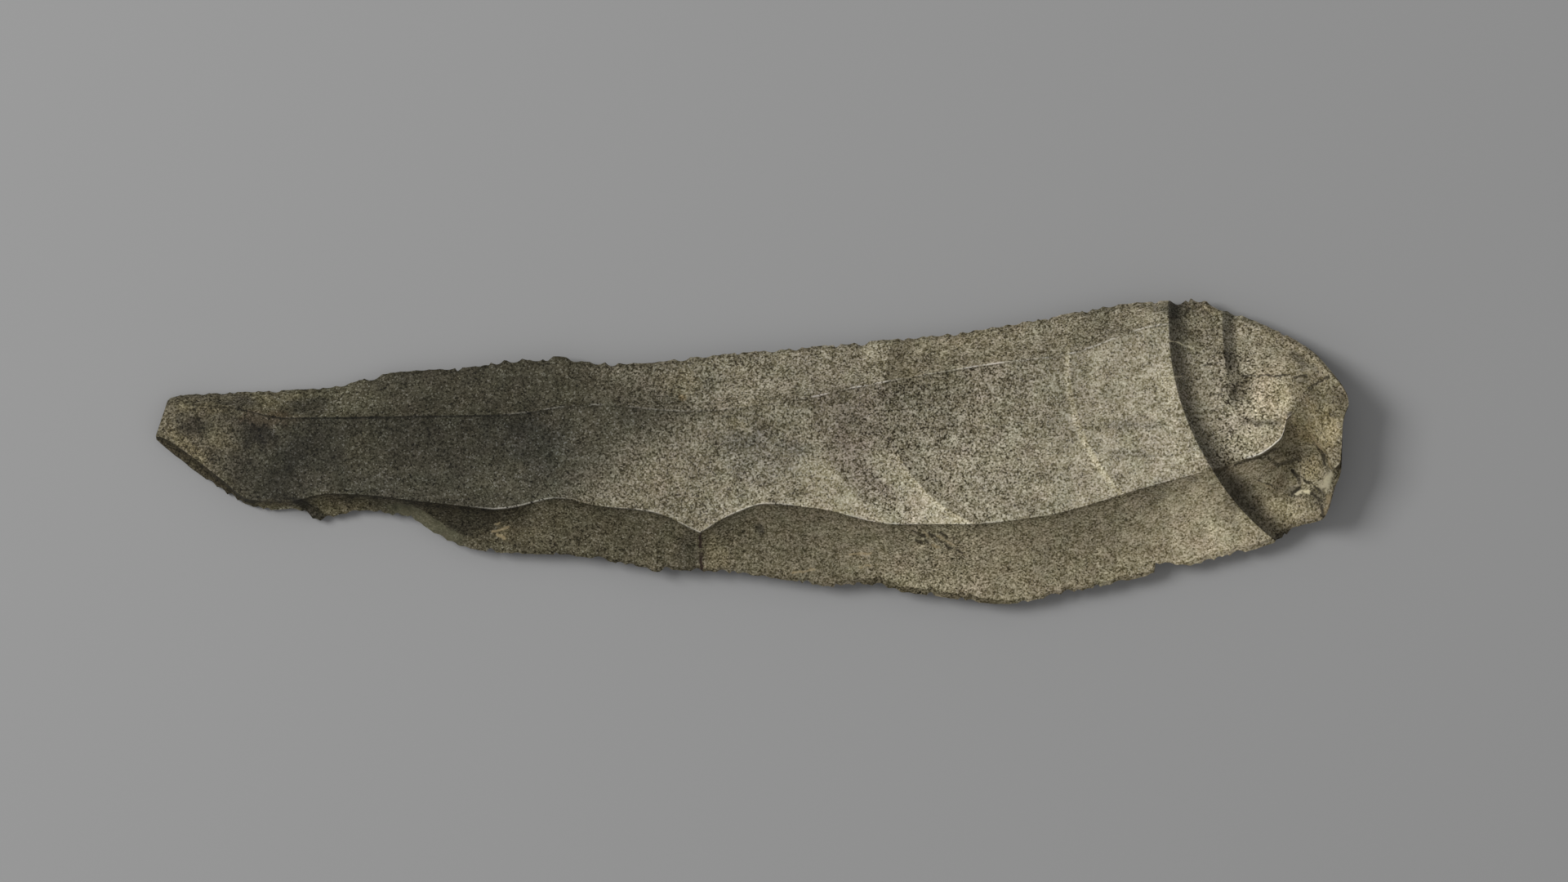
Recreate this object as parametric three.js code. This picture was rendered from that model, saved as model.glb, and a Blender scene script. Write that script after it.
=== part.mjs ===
// A long flint blade, knapped from a prepared core and lying on its flat inner face.
// It is one stone, so it is one solid: rings of points, one ring at each station along
// the blade, joined into a skin and closed at both ends.
//
// Millimetres. +X runs along the blade from the snapped tip to the struck butt, +Y runs
// across it towards the straighter edge, and +Z is up from the table it lies on.
import * as THREE from "three";

// Driving dimensions: the blade's reach, and how finely its skin is divided.
const LENGTH = 170;
const TIP = -LENGTH / 2;
const BUTT = LENGTH / 2;
const STATION_PITCH = 1.15;
const END_STATION_PITCH = 0.4;
const END_ZONE = 4;
const STRIP_DIVISIONS = { upper: 4, middle: 8, lower: 6 };
const INNER_FACE_DIVISIONS = 8;

// The inner face: a shallow arch that bears on the bulb near the butt and on the tip end,
// with each bearing place worn to a small flat.
const ARCH_RISE = 2.2;
const TIP_BEARING_X = -72;
const BULB_X = 58;
const TIP_LIFT = 0.5;
const BUTT_LIFT = 2.3;
const BLADE_CROWN = 0.5;
const BULB_CROWN = 2.2;
const BULB_REACH = 26;
const FLAT_DEPTH = 0.3;

// The two cutting edges, and the thicker rim where the platform was struck.
const EDGE_THICKNESS = 0.6;
const PLATFORM_THICKNESS = 4;
const PLATFORM_ZONE = 8;
const NIBBLE = { depth: 0.16, pitch: 3.7, overtone: 2.3 };
const NIBBLE_FADE = 5;

const FLINT = new THREE.MeshStandardMaterial({
  name: "flint",
  color: 0x7d7664,
  roughness: 0.75,
  metalness: 0,
});

const { clamp, lerp, smoothstep } = THREE.MathUtils;

// A smooth line through points [x, value], with no overshoot between them. It is level at
// each turning point and holds its end values beyond its ends.
function through(points) {
  const last = points.length - 1;
  const slope = (i) =>
    (points[i + 1][1] - points[i][1]) / (points[i + 1][0] - points[i][0]);
  const tangent = (i) => {
    if (i === 0) return slope(0);
    if (i === last) return slope(last - 1);
    const before = slope(i - 1);
    const after = slope(i);
    return before * after <= 0 ? 0 : (2 * before * after) / (before + after);
  };
  return (x) => {
    if (x <= points[0][0]) return points[0][1];
    if (x >= points[last][0]) return points[last][1];
    const i = points.findIndex((p) => p[0] > x) - 1;
    const [x0, y0] = points[i];
    const [x1, y1] = points[i + 1];
    const run = x1 - x0;
    const t = (x - x0) / run;
    const rest = 1 - t;
    return (
      y0 * (1 + 2 * t) * rest * rest +
      y1 * (3 - 2 * t) * t * t +
      run * t * rest * (tangent(i) * rest - tangent(i + 1) * t)
    );
  };
}

// Several such lines end to end, which meet in a sharp point where one scar cuts the next.
function joined(...pieces) {
  const lines = pieces.map(through);
  return (x) => {
    const i = pieces.findIndex((p) => x <= p[p.length - 1][0]);
    return lines[i < 0 ? lines.length - 1 : i](x);
  };
}

// A rounded bite out of an edge, or a tooth left standing where the depth is negative.
function bite(x, { at, half, depth }) {
  const off = (x - at) / half;
  return depth * Math.max(0, 1 - off * off);
}

// Fine nibbling along a cutting edge: a run of shallow hollows that dies out at both ends.
function nibble(x, phase) {
  const fade =
    smoothstep(x, TIP, TIP + NIBBLE_FADE) *
    (1 - smoothstep(x, BUTT - 2 * NIBBLE_FADE, BUTT - NIBBLE_FADE));
  const turn = (2 * Math.PI * x) / NIBBLE.pitch + phase;
  const wave = Math.sin(turn) + Math.sin(turn / NIBBLE.overtone + phase);
  return NIBBLE.depth * fade * wave;
}

// The outline seen from above, as [x, y].
const upperOutline = through([
  [-85, 2.3], [-84, 5.3], [-83.2, 7.4], [-82, 7.8], [-78, 8.1], [-66, 8.6], [-61, 8.9],
  [-51, 11.1], [-39, 12], [-36, 12.7], [-27, 12.9], [-23, 12.6], [-15, 12.4], [-11, 13], [12, 15.1],
  [30, 16.9], [42, 18.9], [54, 21], [60, 21.4], [63.5, 21.7], [66, 20.8], [72, 18.4],
  [79.6, 14.5], [82.9, 10.9], [84.8, 8], [85, 7],
]);
const lowerOutline = through([
  [-85, 1.6], [-84, 0.7], [-78, -3.9], [-72, -7.7], [-69, -8.4], [-65.5, -8.2],
  [-64.2, -8.6], [-62.9, -9.5], [-61.3, -9.9], [-57.4, -8.8], [-55.5, -8.5], [-50.5, -9.3],
  [-48, -9.9], [-45.4, -11.6], [-41.7, -13.5], [-36, -14.5],
  [-27, -14.8], [-15, -16.6], [0, -17.7], [12, -19.5], [24, -20.4], [36, -21.8],
  [45, -20.3], [57.4, -17.6], [66, -15.5], [75, -12.9], [78, -10.8], [81.4, -9.8],
  [82.4, -7.9], [83, -5.5], [84, -2.6], [84.2, 3.8], [85, 6.4],
]);
const UPPER_BITES = [
  { at: -34, half: 2.2, depth: -0.3 },
  { at: -27.7, half: 2.2, depth: -0.5 },
  { at: 61.1, half: 1.6, depth: 0.3 },
  { at: 66.7, half: 1.8, depth: 0.5 },
];
const LOWER_BITES = [
  { at: -13.6, half: 1.2, depth: -0.5 },
  { at: 16.5, half: 5, depth: 0.75 },
];
// A piece snapped off the lower edge: a square shoulder, then a slow return.
const SNAP = { at: 57.5, shoulder: 0.5, run: 5.2, depth: 1.5 };

function upperEdge(x) {
  const bites = UPPER_BITES.reduce((sum, b) => sum + bite(x, b), 0);
  return upperOutline(x) - bites - nibble(x, 0.7);
}

function lowerEdge(x) {
  const bites = LOWER_BITES.reduce((sum, b) => sum + bite(x, b), 0);
  const along = x - SNAP.at;
  const snapped =
    SNAP.depth *
    smoothstep(along, 0, SNAP.shoulder) *
    clamp(1 - along / SNAP.run, 0, 1);
  return lowerOutline(x) + bites + snapped + nibble(x, 2.9);
}

// The two long ridges between the scars of the outer face, seen from above. The lower one
// is made of the arrises of six scars, with a sharp spur where the third meets the fourth.
const SPUR_X = -7.3;
const STEP_X = 65.8;
const upperRidge = through([
  [-85, 2.2], [-83, 6.8], [-74.5, 6.3], [-66.4, 4.8], [-41.8, 5.1], [-35.5, 5.2],
  [-22.8, 6.6], [-9.2, 5.7], [7.6, 7.5], [14.6, 9], [35.2, 12.5], [44.7, 13.7],
  [59.4, 18], [62.9, 15.2], [67.5, 14], [76, 12.5], [80.5, 11.5], [82.6, 10.1],
  [84.4, 8.2], [85, 6.7],
]);
const lowerRidge = joined(
  [[-85, 2.05], [-84.2, 1.9], [-80.3, -0.5], [-75.3, -4.3], [-71.8, -6.9], [-70.3, -7.1]],
  [[-70.3, -7.1], [-66.3, -7.2], [-60.2, -6.1], [-55, -6.3], [-48, -7.1], [-36.8, -8.3]],
  [[-36.8, -8.3], [-34.5, -8.1], [-27.5, -6.7], [-21.9, -7.8], [-14.4, -8.6], [SPUR_X, -11.6]],
  [
    [SPUR_X, -11.6], [-2.3, -8.8], [2, -7.5], [9, -8.1], [20.7, -10.4], [29.8, -10.4],
    [41, -9.3], [55.9, -5.2], [STEP_X, -2.5],
  ],
  [
    [STEP_X, -2.5], [69.9, -1.2], [72.2, -0.5], [74.5, 1.1], [75.5, 2.2], [76.1, 4.6],
    [76.8, 5.2],
  ],
  [
    [76.8, 5.2], [79, 3.2], [80.5, 1.2], [81.8, -0.8], [83, -2.4], [83.8, -1.5],
    [84.2, 4.3], [85, 6.55],
  ],
);

// Heights of those ridges over the table, before the steps near the butt are cut.
const upperRidgeHeight = through([
  [-85, 2.5], [-60, 4.4], [-20, 6.1], [20, 7], [50, 6.9], [64, 7.4], [76, 8.3], [85, 7.2],
]);
const lowerRidgeHeight = through([
  [-85, 2.7], [-70, 3.9], [-37, 6], [-20, 6.9], [SPUR_X, 7.3], [2, 8], [38, 10],
  [STEP_X, 11.2], [76, 10.9], [80, 9.8], [85, 7.3],
]);

// How far each strip of the outer face is hollowed between its two sides. A negative
// hollow is a swelling.
const upperHollow = through([[-85, 0], [-40, 0.3], [50, 0.35], [66, -0.5], [85, 0]]);
const middleHollow = through([[-85, 0.1], [-40, 0.5], [20, 0.8], [56, 0.9], [70, -0.4], [85, 0]]);
const lowerHollow = through([[-85, 0], [-60, 0.5], [-40, 0.7], [30, 0.8], [60, 0.7], [85, 0.2]]);

// Shock ripples and steps of the outer face, each on an arc round a centre near the butt.
// Outside the arc the face lifts towards it, and inside it drops away and levels out. The
// first cuts right across the blade, the others stop at the lower ridge, and the second
// has died out at the foot of its arc. An arc is drawn only on the tip side of its centre.
const RIPPLES = [
  { x: 98.5, y: 18.3, radius: 39.1, lift: 0.5, lead: 6, drop: 1.7, run: 2, reach: 26, crosses: true },
  { x: 112.1, y: 17.8, radius: 45, lift: 0.2, lead: 2, drop: 0.7, run: 1, reach: 9, foot: 1 },
  { x: 71.5, y: 12.5, radius: 26.3, lift: 0.16, lead: 1.5, drop: 0.16, run: 1.5, reach: 4 },
  { x: 38.9, y: 8.5, radius: 20, lift: 0.5, lead: 3.5, drop: 0.45, run: 1.6, reach: 8 },
];
const RIPPLE_DEPTH_OF_STONE = 3.5;
const RIPPLE_FADE = 8;
const RIPPLE_FACING = { none: 0.1, full: 0.35 };

// Smaller bowl-shaped scars struck into the butt and the tip end.
const BOWLS = [
  { x: 72.5, y: -6.5, radius: 8, depth: 0.8 },
  { x: 79.5, y: -3.5, radius: 5.5, depth: 1 },
  { x: 81.5, y: 5, radius: 4.5, depth: 0.6 },
  { x: -55, y: -8, radius: 6, depth: 0.5 },
];

// Two scars of the lower strip meet in an upright arris below the spur.
const ARRIS = { depth: 0.45, reach: 7 };

function ripple(x, y, { x: cx, y: cy, radius, lift, lead, drop, run, reach, foot }) {
  const distance = Math.hypot(x - cx, y - cy);
  const facing = smoothstep((cx - x) / distance, RIPPLE_FACING.none, RIPPLE_FACING.full);
  const standing = foot === undefined ? 1 : smoothstep(y, foot, foot + RIPPLE_FADE);
  const strength = facing * standing;
  const inside = radius - distance;
  if (inside < 0) return strength * lift * Math.exp(inside / lead);
  const fallen = (lift + drop) * (1 - Math.exp(-inside / run));
  return strength * (lift - fallen) * Math.exp(-Math.max(0, inside - run) / reach);
}

// All the ripples at a point of a strip. Below the lower ridge those that don't cross it
// only carry the height that they gave the ridge, and lose it towards the edge.
function rippled(x, y, strip, t) {
  return RIPPLES.reduce((sum, r) => {
    const stopped = strip.isLower && !r.crosses;
    return sum + (stopped ? (1 - t) * ripple(x, strip.from.y, r) : ripple(x, y, r));
  }, 0);
}

function bowl(x, y, scar) {
  const off = Math.hypot(x - scar.x, y - scar.y) / scar.radius;
  return scar.depth * Math.max(0, 1 - off * off);
}

// Height of the inner face. across runs from -1 at the lower edge to +1 at the upper one.
function innerFace(x, across) {
  const span = BULB_X - TIP_BEARING_X;
  let profile;
  if (x < TIP_BEARING_X) {
    profile = TIP_LIFT * ((TIP_BEARING_X - x) / (TIP_BEARING_X - TIP)) ** 2;
  } else if (x > BULB_X) {
    profile = BUTT_LIFT * ((x - BULB_X) / (BUTT - BULB_X)) ** 2;
  } else {
    profile = ARCH_RISE * Math.sin((Math.PI * (x - TIP_BEARING_X)) / span);
  }
  const bulb = Math.exp(-(((x - BULB_X) / BULB_REACH) ** 2));
  const crown = lerp(BLADE_CROWN, BULB_CROWN, bulb);
  return Math.max(0, profile + crown * across * across - FLAT_DEPTH);
}

// Height of the rim: the thin cutting edge, thicker at the struck platform.
function rimHeight(x) {
  const platform = smoothstep(x, BUTT - PLATFORM_ZONE, BUTT);
  return innerFace(x, 1) + lerp(EDGE_THICKNESS, PLATFORM_THICKNESS, platform);
}

// The three strips of the outer face at a station, from the upper edge to the lower one.
// Each has the y and the height of its two sides and its hollow.
function strips(x) {
  const rim = rimHeight(x);
  const ys = [upperEdge(x), upperRidge(x), lowerRidge(x), lowerEdge(x)];
  const heights = [rim, upperRidgeHeight(x), lowerRidgeHeight(x), rim];
  const hollows = [upperHollow(x), middleHollow(x), lowerHollow(x)];
  return Object.values(STRIP_DIVISIONS).map((divisions, i) => ({
    divisions,
    from: { y: ys[i], z: heights[i] },
    to: { y: ys[i + 1], z: heights[i + 1] },
    hollow: hollows[i],
    isLower: i === 2,
  }));
}

// One point of a strip: its straight section, hollowed, then cut by ripples and bowls
// where there is stone enough over the rim.
function outerFacePoint(x, strip, t) {
  const y = lerp(strip.from.y, strip.to.y, t);
  const belly = 4 * t * (1 - t);
  const rim = rimHeight(x);
  let z = lerp(strip.from.z, strip.to.z, t) - strip.hollow * belly;
  if (strip.isLower) {
    z -= ARRIS.depth * belly * (1 - Math.exp(-Math.abs(x - SPUR_X) / ARRIS.reach));
  }
  const spare = smoothstep(z - rim, 0, RIPPLE_DEPTH_OF_STONE);
  const cut = BOWLS.reduce((sum, b) => sum + bowl(x, y, b), 0);
  z += spare * (rippled(x, y, strip, t) - cut);
  return new THREE.Vector3(x, y, Math.max(z, rim));
}

// The closed ring of points at a station: over the outer face from the upper edge to the
// lower one, then back under the inner face.
function ring(x) {
  const points = [];
  strips(x).forEach((strip, i) => {
    for (let k = i === 0 ? 0 : 1; k <= strip.divisions; k++) {
      points.push(outerFacePoint(x, strip, k / strip.divisions));
    }
  });
  const upper = points[0].y;
  const lower = points[points.length - 1].y;
  for (let k = 0; k <= INNER_FACE_DIVISIONS; k++) {
    const across = (2 * k) / INNER_FACE_DIVISIONS - 1;
    const y = lerp(lower, upper, k / INNER_FACE_DIVISIONS);
    points.push(new THREE.Vector3(x, y, innerFace(x, across)));
  }
  return points;
}

// Stations along the blade: even, closer at both ends, with one on the spur and one at
// each side of the snapped shoulder.
function stations() {
  const found = [];
  let x = TIP;
  while (x < BUTT - END_STATION_PITCH / 2) {
    found.push(x);
    const nearEnd = Math.min(x - TIP, BUTT - x) < END_ZONE;
    x += nearEnd ? END_STATION_PITCH : STATION_PITCH;
  }
  const marks = [SPUR_X, SNAP.at, SNAP.at + SNAP.shoulder];
  const kept = found.filter((s) => marks.every((m) => Math.abs(s - m) > STATION_PITCH / 3));
  return [...kept, ...marks, BUTT].sort((a, b) => a - b);
}

// The skin: quads between neighbouring rings, and a flat cap over the ring at each end.
function bladeGeometry() {
  const rings = stations().map(ring);
  const size = rings[0].length;
  const positions = rings.flat().flatMap((p) => p.toArray());
  const index = [];
  for (let s = 0; s + 1 < rings.length; s++) {
    for (let k = 0; k < size; k++) {
      const next = (k + 1) % size;
      const [a, b] = [s * size + k, s * size + next];
      const [c, d] = [a + size, b + size];
      index.push(a, b, c, b, d, c);
    }
  }
  const capOf = (points) =>
    THREE.ShapeUtils.triangulateShape(
      points.map((p) => new THREE.Vector2(p.y, p.z)),
      [],
    );
  const lastStart = (rings.length - 1) * size;
  for (const [a, b, c] of capOf(rings[0])) index.push(c, b, a);
  for (const [a, b, c] of capOf(rings[rings.length - 1])) {
    index.push(lastStart + a, lastStart + b, lastStart + c);
  }
  const geometry = new THREE.BufferGeometry();
  geometry.setAttribute("position", new THREE.Float32BufferAttribute(positions, 3));
  geometry.setIndex(index);
  return geometry;
}

// The origin is under the middle of the blade's box, on the table.
function centred(geometry) {
  geometry.computeBoundingBox();
  const { min, max } = geometry.boundingBox;
  geometry.translate(-(min.x + max.x) / 2, -(min.y + max.y) / 2, -min.z);
  geometry.computeVertexNormals();
  return geometry;
}

const blade = new THREE.Mesh(centred(bladeGeometry()), FLINT);
blade.name = "flint_blade";

const part = new THREE.Group();
part.add(blade);

export default part;
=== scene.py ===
"""Looks of a long flint blade that lies on its inner face, lit and seen from straight above.

The blade is one stone, so it is one fine mesh, which stands for the plain solid. It follows the
same outline, ridges and steps, and adds what the solid leaves out: nibbled edges, small scars,
hinge steps at the butt and worn arrises. Sizes are in millimetres until the mesh is written.
"""
import logging
import math
from dataclasses import dataclass, field
from enum import Enum
from typing import ClassVar

import bpy
import numpy as np
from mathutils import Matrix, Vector


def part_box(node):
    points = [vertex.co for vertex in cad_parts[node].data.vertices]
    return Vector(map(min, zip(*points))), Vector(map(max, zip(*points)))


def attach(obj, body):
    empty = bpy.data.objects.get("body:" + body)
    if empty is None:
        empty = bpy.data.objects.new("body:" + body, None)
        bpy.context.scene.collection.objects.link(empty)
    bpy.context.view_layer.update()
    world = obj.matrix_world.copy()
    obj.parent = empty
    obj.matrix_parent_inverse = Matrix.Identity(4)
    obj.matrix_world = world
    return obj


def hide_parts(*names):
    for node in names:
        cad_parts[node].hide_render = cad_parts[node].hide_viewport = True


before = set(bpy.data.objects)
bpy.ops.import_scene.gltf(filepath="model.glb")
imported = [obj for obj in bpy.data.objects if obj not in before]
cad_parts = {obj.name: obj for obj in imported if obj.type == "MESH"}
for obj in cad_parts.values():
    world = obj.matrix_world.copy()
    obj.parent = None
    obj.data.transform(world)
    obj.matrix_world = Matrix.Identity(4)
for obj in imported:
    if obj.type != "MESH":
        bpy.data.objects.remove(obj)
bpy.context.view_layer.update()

MM = 0.001
LENGTH = 170.0
TIP = -LENGTH / 2
BUTT = LENGTH / 2
SPUR_X = -7.3
STEP_X = 65.8
MIDDLE_FROM = 2.0
BUTT_FROM = 42.0
NODE = "flint_blade"
STAIN_AND_SHADE = "stain_and_shade"

FLAT = (1.0, 1.0, 0.0)

Tone = tuple[float, float, float, float]
Point = tuple[float, float]

log = logging.getLogger("flint_blade")


# Curves, noise and tones

def smoothstep(value: np.ndarray, low: float, high: float) -> np.ndarray:
    """Eased climb from 0 at low to 1 at high.

    Args:
        value: Numbers to ease.
        low: Value that gives 0.
        high: Value that gives 1.

    Returns:
        Numbers from 0 to 1, in value's shape.
    """
    t = np.clip((value - low) / (high - low), 0.0, 1.0)
    return t * t * (3.0 - 2.0 * t)


def lerp(a: np.ndarray, b: np.ndarray, t: np.ndarray) -> np.ndarray:
    """Straight mix of a and b: a where t is 0, b where it is 1."""
    return a + (b - a) * t


def hump(t: np.ndarray) -> np.ndarray:
    """Rounded climb from 0 at both ends of a share to 1 half way."""
    return 4.0 * t * (1.0 - t)


def tone(red: int, green: int, blue: int) -> Tone:
    """Linear colour of a screen colour.

    Args:
        red: Red from 0 to 255.
        green: Green from 0 to 255.
        blue: Blue from 0 to 255.

    Returns:
        Red, green, blue and a full alpha, as the shader wants them.
    """
    shares = (c / 255 for c in (red, green, blue))
    linear = [c / 12.92 if c <= 0.04045 else ((c + 0.055) / 1.055) ** 2.4 for c in shares]
    return (linear[0], linear[1], linear[2], 1.0)


class Line:
    """A smooth line through points, level at each turning point, with no overshoot."""

    def __init__(self, *points: Point) -> None:
        """Works out the slope at each point.

        Args:
            points: Pairs of place and value, in rising order of place.
        """
        self.at, self.value = np.array(points, float).T
        slope = np.diff(self.value) / np.diff(self.at)
        before, after = slope[:-1], slope[1:]
        agree = before * after > 0
        total = np.where(agree, before + after, 1.0)
        inner = np.where(agree, 2.0 * before * after / total, 0.0)
        self.tangent = np.concatenate([slope[:1], inner, slope[-1:]])

    def __call__(self, x: np.ndarray) -> np.ndarray:
        """Value of the line at x, held level beyond both ends.

        Args:
            x: Places along the line.

        Returns:
            Values in x's shape.
        """
        x = np.clip(x, self.at[0], self.at[-1])
        i = np.clip(np.searchsorted(self.at, x, side="right") - 1, 0, len(self.at) - 2)
        run = self.at[i + 1] - self.at[i]
        t = (x - self.at[i]) / run
        rest = 1.0 - t
        ends = self.value[i] * (1 + 2 * t) * rest**2 + self.value[i + 1] * (3 - 2 * t) * t**2
        return ends + run * t * rest * (self.tangent[i] * rest - self.tangent[i + 1] * t)


class Chain:
    """Several lines end to end, meeting in a sharp point where one scar cuts the next."""

    def __init__(self, *pieces: list[Point]) -> None:
        """Makes one line of each piece.

        Args:
            pieces: Lists of points, each starting where the last one ended.
        """
        self.lines = [Line(*piece) for piece in pieces]

    def __call__(self, x: np.ndarray) -> np.ndarray:
        """Value of the chain at x.

        Args:
            x: Places along the chain.

        Returns:
            Values in x's shape.
        """
        value = self.lines[0](x)
        for line in self.lines[1:]:
            value = np.where(x > line.at[0], line(x), value)
        return value


def lattice_noise(x: np.ndarray, y: np.ndarray, pitch: float, seed: int) -> np.ndarray:
    """Smooth noise that comes out the same in each run.

    Args:
        x: Places along the blade.
        y: Places across it.
        pitch: Distance between the lattice's points.
        seed: Which lattice to draw.

    Returns:
        Numbers from -1 to 1, in x's shape.
    """
    side = 256
    table = np.random.default_rng(seed).uniform(-1.0, 1.0, (side, side))
    u, v = x / pitch, y / pitch
    i, j = np.floor(u).astype(int), np.floor(v).astype(int)
    s, t = smoothstep(u - i, 0.0, 1.0), smoothstep(v - j, 0.0, 1.0)
    i, j = i % side, j % side
    near = lerp(table[i, j], table[(i + 1) % side, j], s)
    far = lerp(table[i, (j + 1) % side], table[(i + 1) % side, (j + 1) % side], s)
    return lerp(near, far, t)


# Scars, bites and steps

@dataclass(frozen=True)
class Bite:
    """A rounded bite out of an edge, or a tooth left standing where its depth is negative."""

    at: float
    half: float
    depth: float

    def cut(self, x: np.ndarray) -> np.ndarray:
        """Depth of the bite at x."""
        return self.depth * np.maximum(0.0, 1.0 - ((x - self.at) / self.half) ** 2)


@dataclass(frozen=True)
class Nibbling:
    """Fine damage along an edge: a run of small hollows with sharp teeth between them."""

    seed: int
    pitch: tuple[float, float] = (0.7, 2.6)
    depth: tuple[float, float] = (0.06, 0.65)
    tip_fade: float = 5.0
    butt_fade: tuple[float, float] = (9.0, 4.0)
    spare: int = 20

    def cut(self, x: np.ndarray) -> np.ndarray:
        """How far the edge is eaten in at x, about its mean.

        Args:
            x: Places along the blade.

        Returns:
            Depths in x's shape, some of them negative.
        """
        rng = np.random.default_rng(self.seed)
        count = int(2 * LENGTH / sum(self.pitch)) + self.spare
        ends = TIP - self.pitch[1] + np.cumsum(rng.uniform(*self.pitch, count))
        depths = rng.uniform(0.0, 1.0, count) ** 2 * np.ptp(self.depth) + self.depth[0]
        i = np.clip(np.searchsorted(ends, x), 1, count - 1)
        u = np.clip((x - ends[i - 1]) / (ends[i] - ends[i - 1]), 0.0, 1.0)
        hollow = depths[i] * hump(u)
        from_tip = smoothstep(x, TIP, TIP + self.tip_fade)
        from_butt = 1.0 - smoothstep(x, BUTT - self.butt_fade[0], BUTT - self.butt_fade[1])
        return from_tip * from_butt * (hollow - depths.mean() / 2)


@dataclass(frozen=True)
class Ripple:
    """A shock ripple or step on an arc, drawn on the tip side of its centre.

    Outside the arc the face lifts towards it, and inside it drops away and levels out.
    """

    x: float
    y: float
    radius: float
    lift: float
    lead: float
    drop: float
    run: float
    reach: float
    crosses: bool = False
    foot: float = -100.0
    high_share: float = 1.0
    facing: ClassVar[Point] = (0.1, 0.35)
    foot_run: ClassVar[float] = 8.0
    high_climb: ClassVar[Point] = (-4.0, 5.0)

    def inside(self, x: np.ndarray, y: np.ndarray) -> np.ndarray:
        """Distance inside the arc, negative outside it."""
        return self.radius - np.hypot(x - self.x, y - self.y)

    def strength(self, x: np.ndarray, y: np.ndarray) -> np.ndarray:
        """Share of the ripple that is left at a point, from 0 to 1."""
        turned = (self.x - x) / np.hypot(x - self.x, y - self.y)
        left = smoothstep(turned, *self.facing) * smoothstep(y, self.foot, self.foot + self.foot_run)
        return left * lerp(1.0, self.high_share, smoothstep(y, *self.high_climb))

    def rise(self, x: np.ndarray, y: np.ndarray) -> np.ndarray:
        """Height that the ripple adds at a point.

        Args:
            x: Places along the blade.
            y: Places across it.

        Returns:
            Heights in x's shape, negative where the face has dropped.
        """
        inside = self.inside(x, y)
        before = self.lift * np.exp(np.minimum(inside, 0.0) / self.lead)
        deep = np.maximum(inside, 0.0)
        fallen = (self.lift + self.drop) * (1.0 - np.exp(-deep / self.run))
        after = (self.lift - fallen) * np.exp(-np.maximum(0.0, deep - self.run) / self.reach)
        return self.strength(x, y) * np.where(inside < 0.0, before, after)


@dataclass(frozen=True)
class Bowl:
    """A small bowl-shaped scar."""

    x: float
    y: float
    radius: float
    depth: float

    def cut(self, x: np.ndarray, y: np.ndarray) -> np.ndarray:
        """Depth of the bowl at a point."""
        off = np.hypot(x - self.x, y - self.y) / self.radius
        return self.depth * np.maximum(0.0, 1.0 - off**2)


@dataclass(frozen=True)
class Ledge:
    """A hinge step along a broken line: the face drops on the right of it as it is walked."""

    path: tuple[Point, ...]
    drop: float
    run: float
    reach: float
    end_share: ClassVar[float] = 0.2

    def cut(self, x: np.ndarray, y: np.ndarray) -> np.ndarray:
        """How far the face has dropped at a point beside the step.

        Args:
            x: Places along the blade.
            y: Places across it.

        Returns:
            Depths in x's shape.
        """
        best = np.full(x.shape, np.inf)
        side = np.zeros(x.shape)
        along = np.zeros(x.shape)
        legs = len(self.path) - 1
        for leg, ((ax, ay), (bx, by)) in enumerate(zip(self.path, self.path[1:])):
            dx, dy = bx - ax, by - ay
            h = np.clip(((x - ax) * dx + (y - ay) * dy) / (dx * dx + dy * dy), 0.0, 1.0)
            gap = np.hypot(x - ax - h * dx, y - ay - h * dy)
            nearer = gap < best
            best = np.where(nearer, gap, best)
            side = np.where(nearer, (x - ax) * dy - (y - ay) * dx, side)
            along = np.where(nearer, (leg + h) / legs, along)
        ending = smoothstep(along, 1.0 - self.end_share, 1.0)
        fade = smoothstep(along, 0.0, self.end_share) * (1.0 - ending)
        step = (1.0 - np.exp(-best / self.run)) * np.exp(-best / self.reach)
        return np.where(side > 0, self.drop * fade * step, 0.0)


# The stone's form

class Strip(Enum):
    """Strips of a ring round the blade: over the top from the upper edge, then back underneath."""

    UPPER_BEVEL = 0
    UPPER = 1
    MIDDLE = 2
    LOWER = 3
    LOWER_BEVEL = 4
    LOWER_RIM = 5
    INNER = 6
    UPPER_RIM = 7


STEPS = {
    Strip.UPPER_BEVEL: 4, Strip.UPPER: 26, Strip.MIDDLE: 62, Strip.LOWER: 38, Strip.LOWER_BEVEL: 7,
    Strip.LOWER_RIM: 3, Strip.INNER: 26, Strip.UPPER_RIM: 3,
}


def crowded(steps: int, pull: float = 0.7) -> np.ndarray:
    """Shares from 0 to 1 that crowd towards both ends.

    Args:
        steps: Steps between the ends.
        pull: How much closer the first and last steps are.

    Returns:
        One row of steps + 1 rising numbers.
    """
    t = np.linspace(0.0, 1.0, steps + 1)[None, :]
    return t - pull / (2.0 * math.pi) * np.sin(2.0 * math.pi * t)


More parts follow.
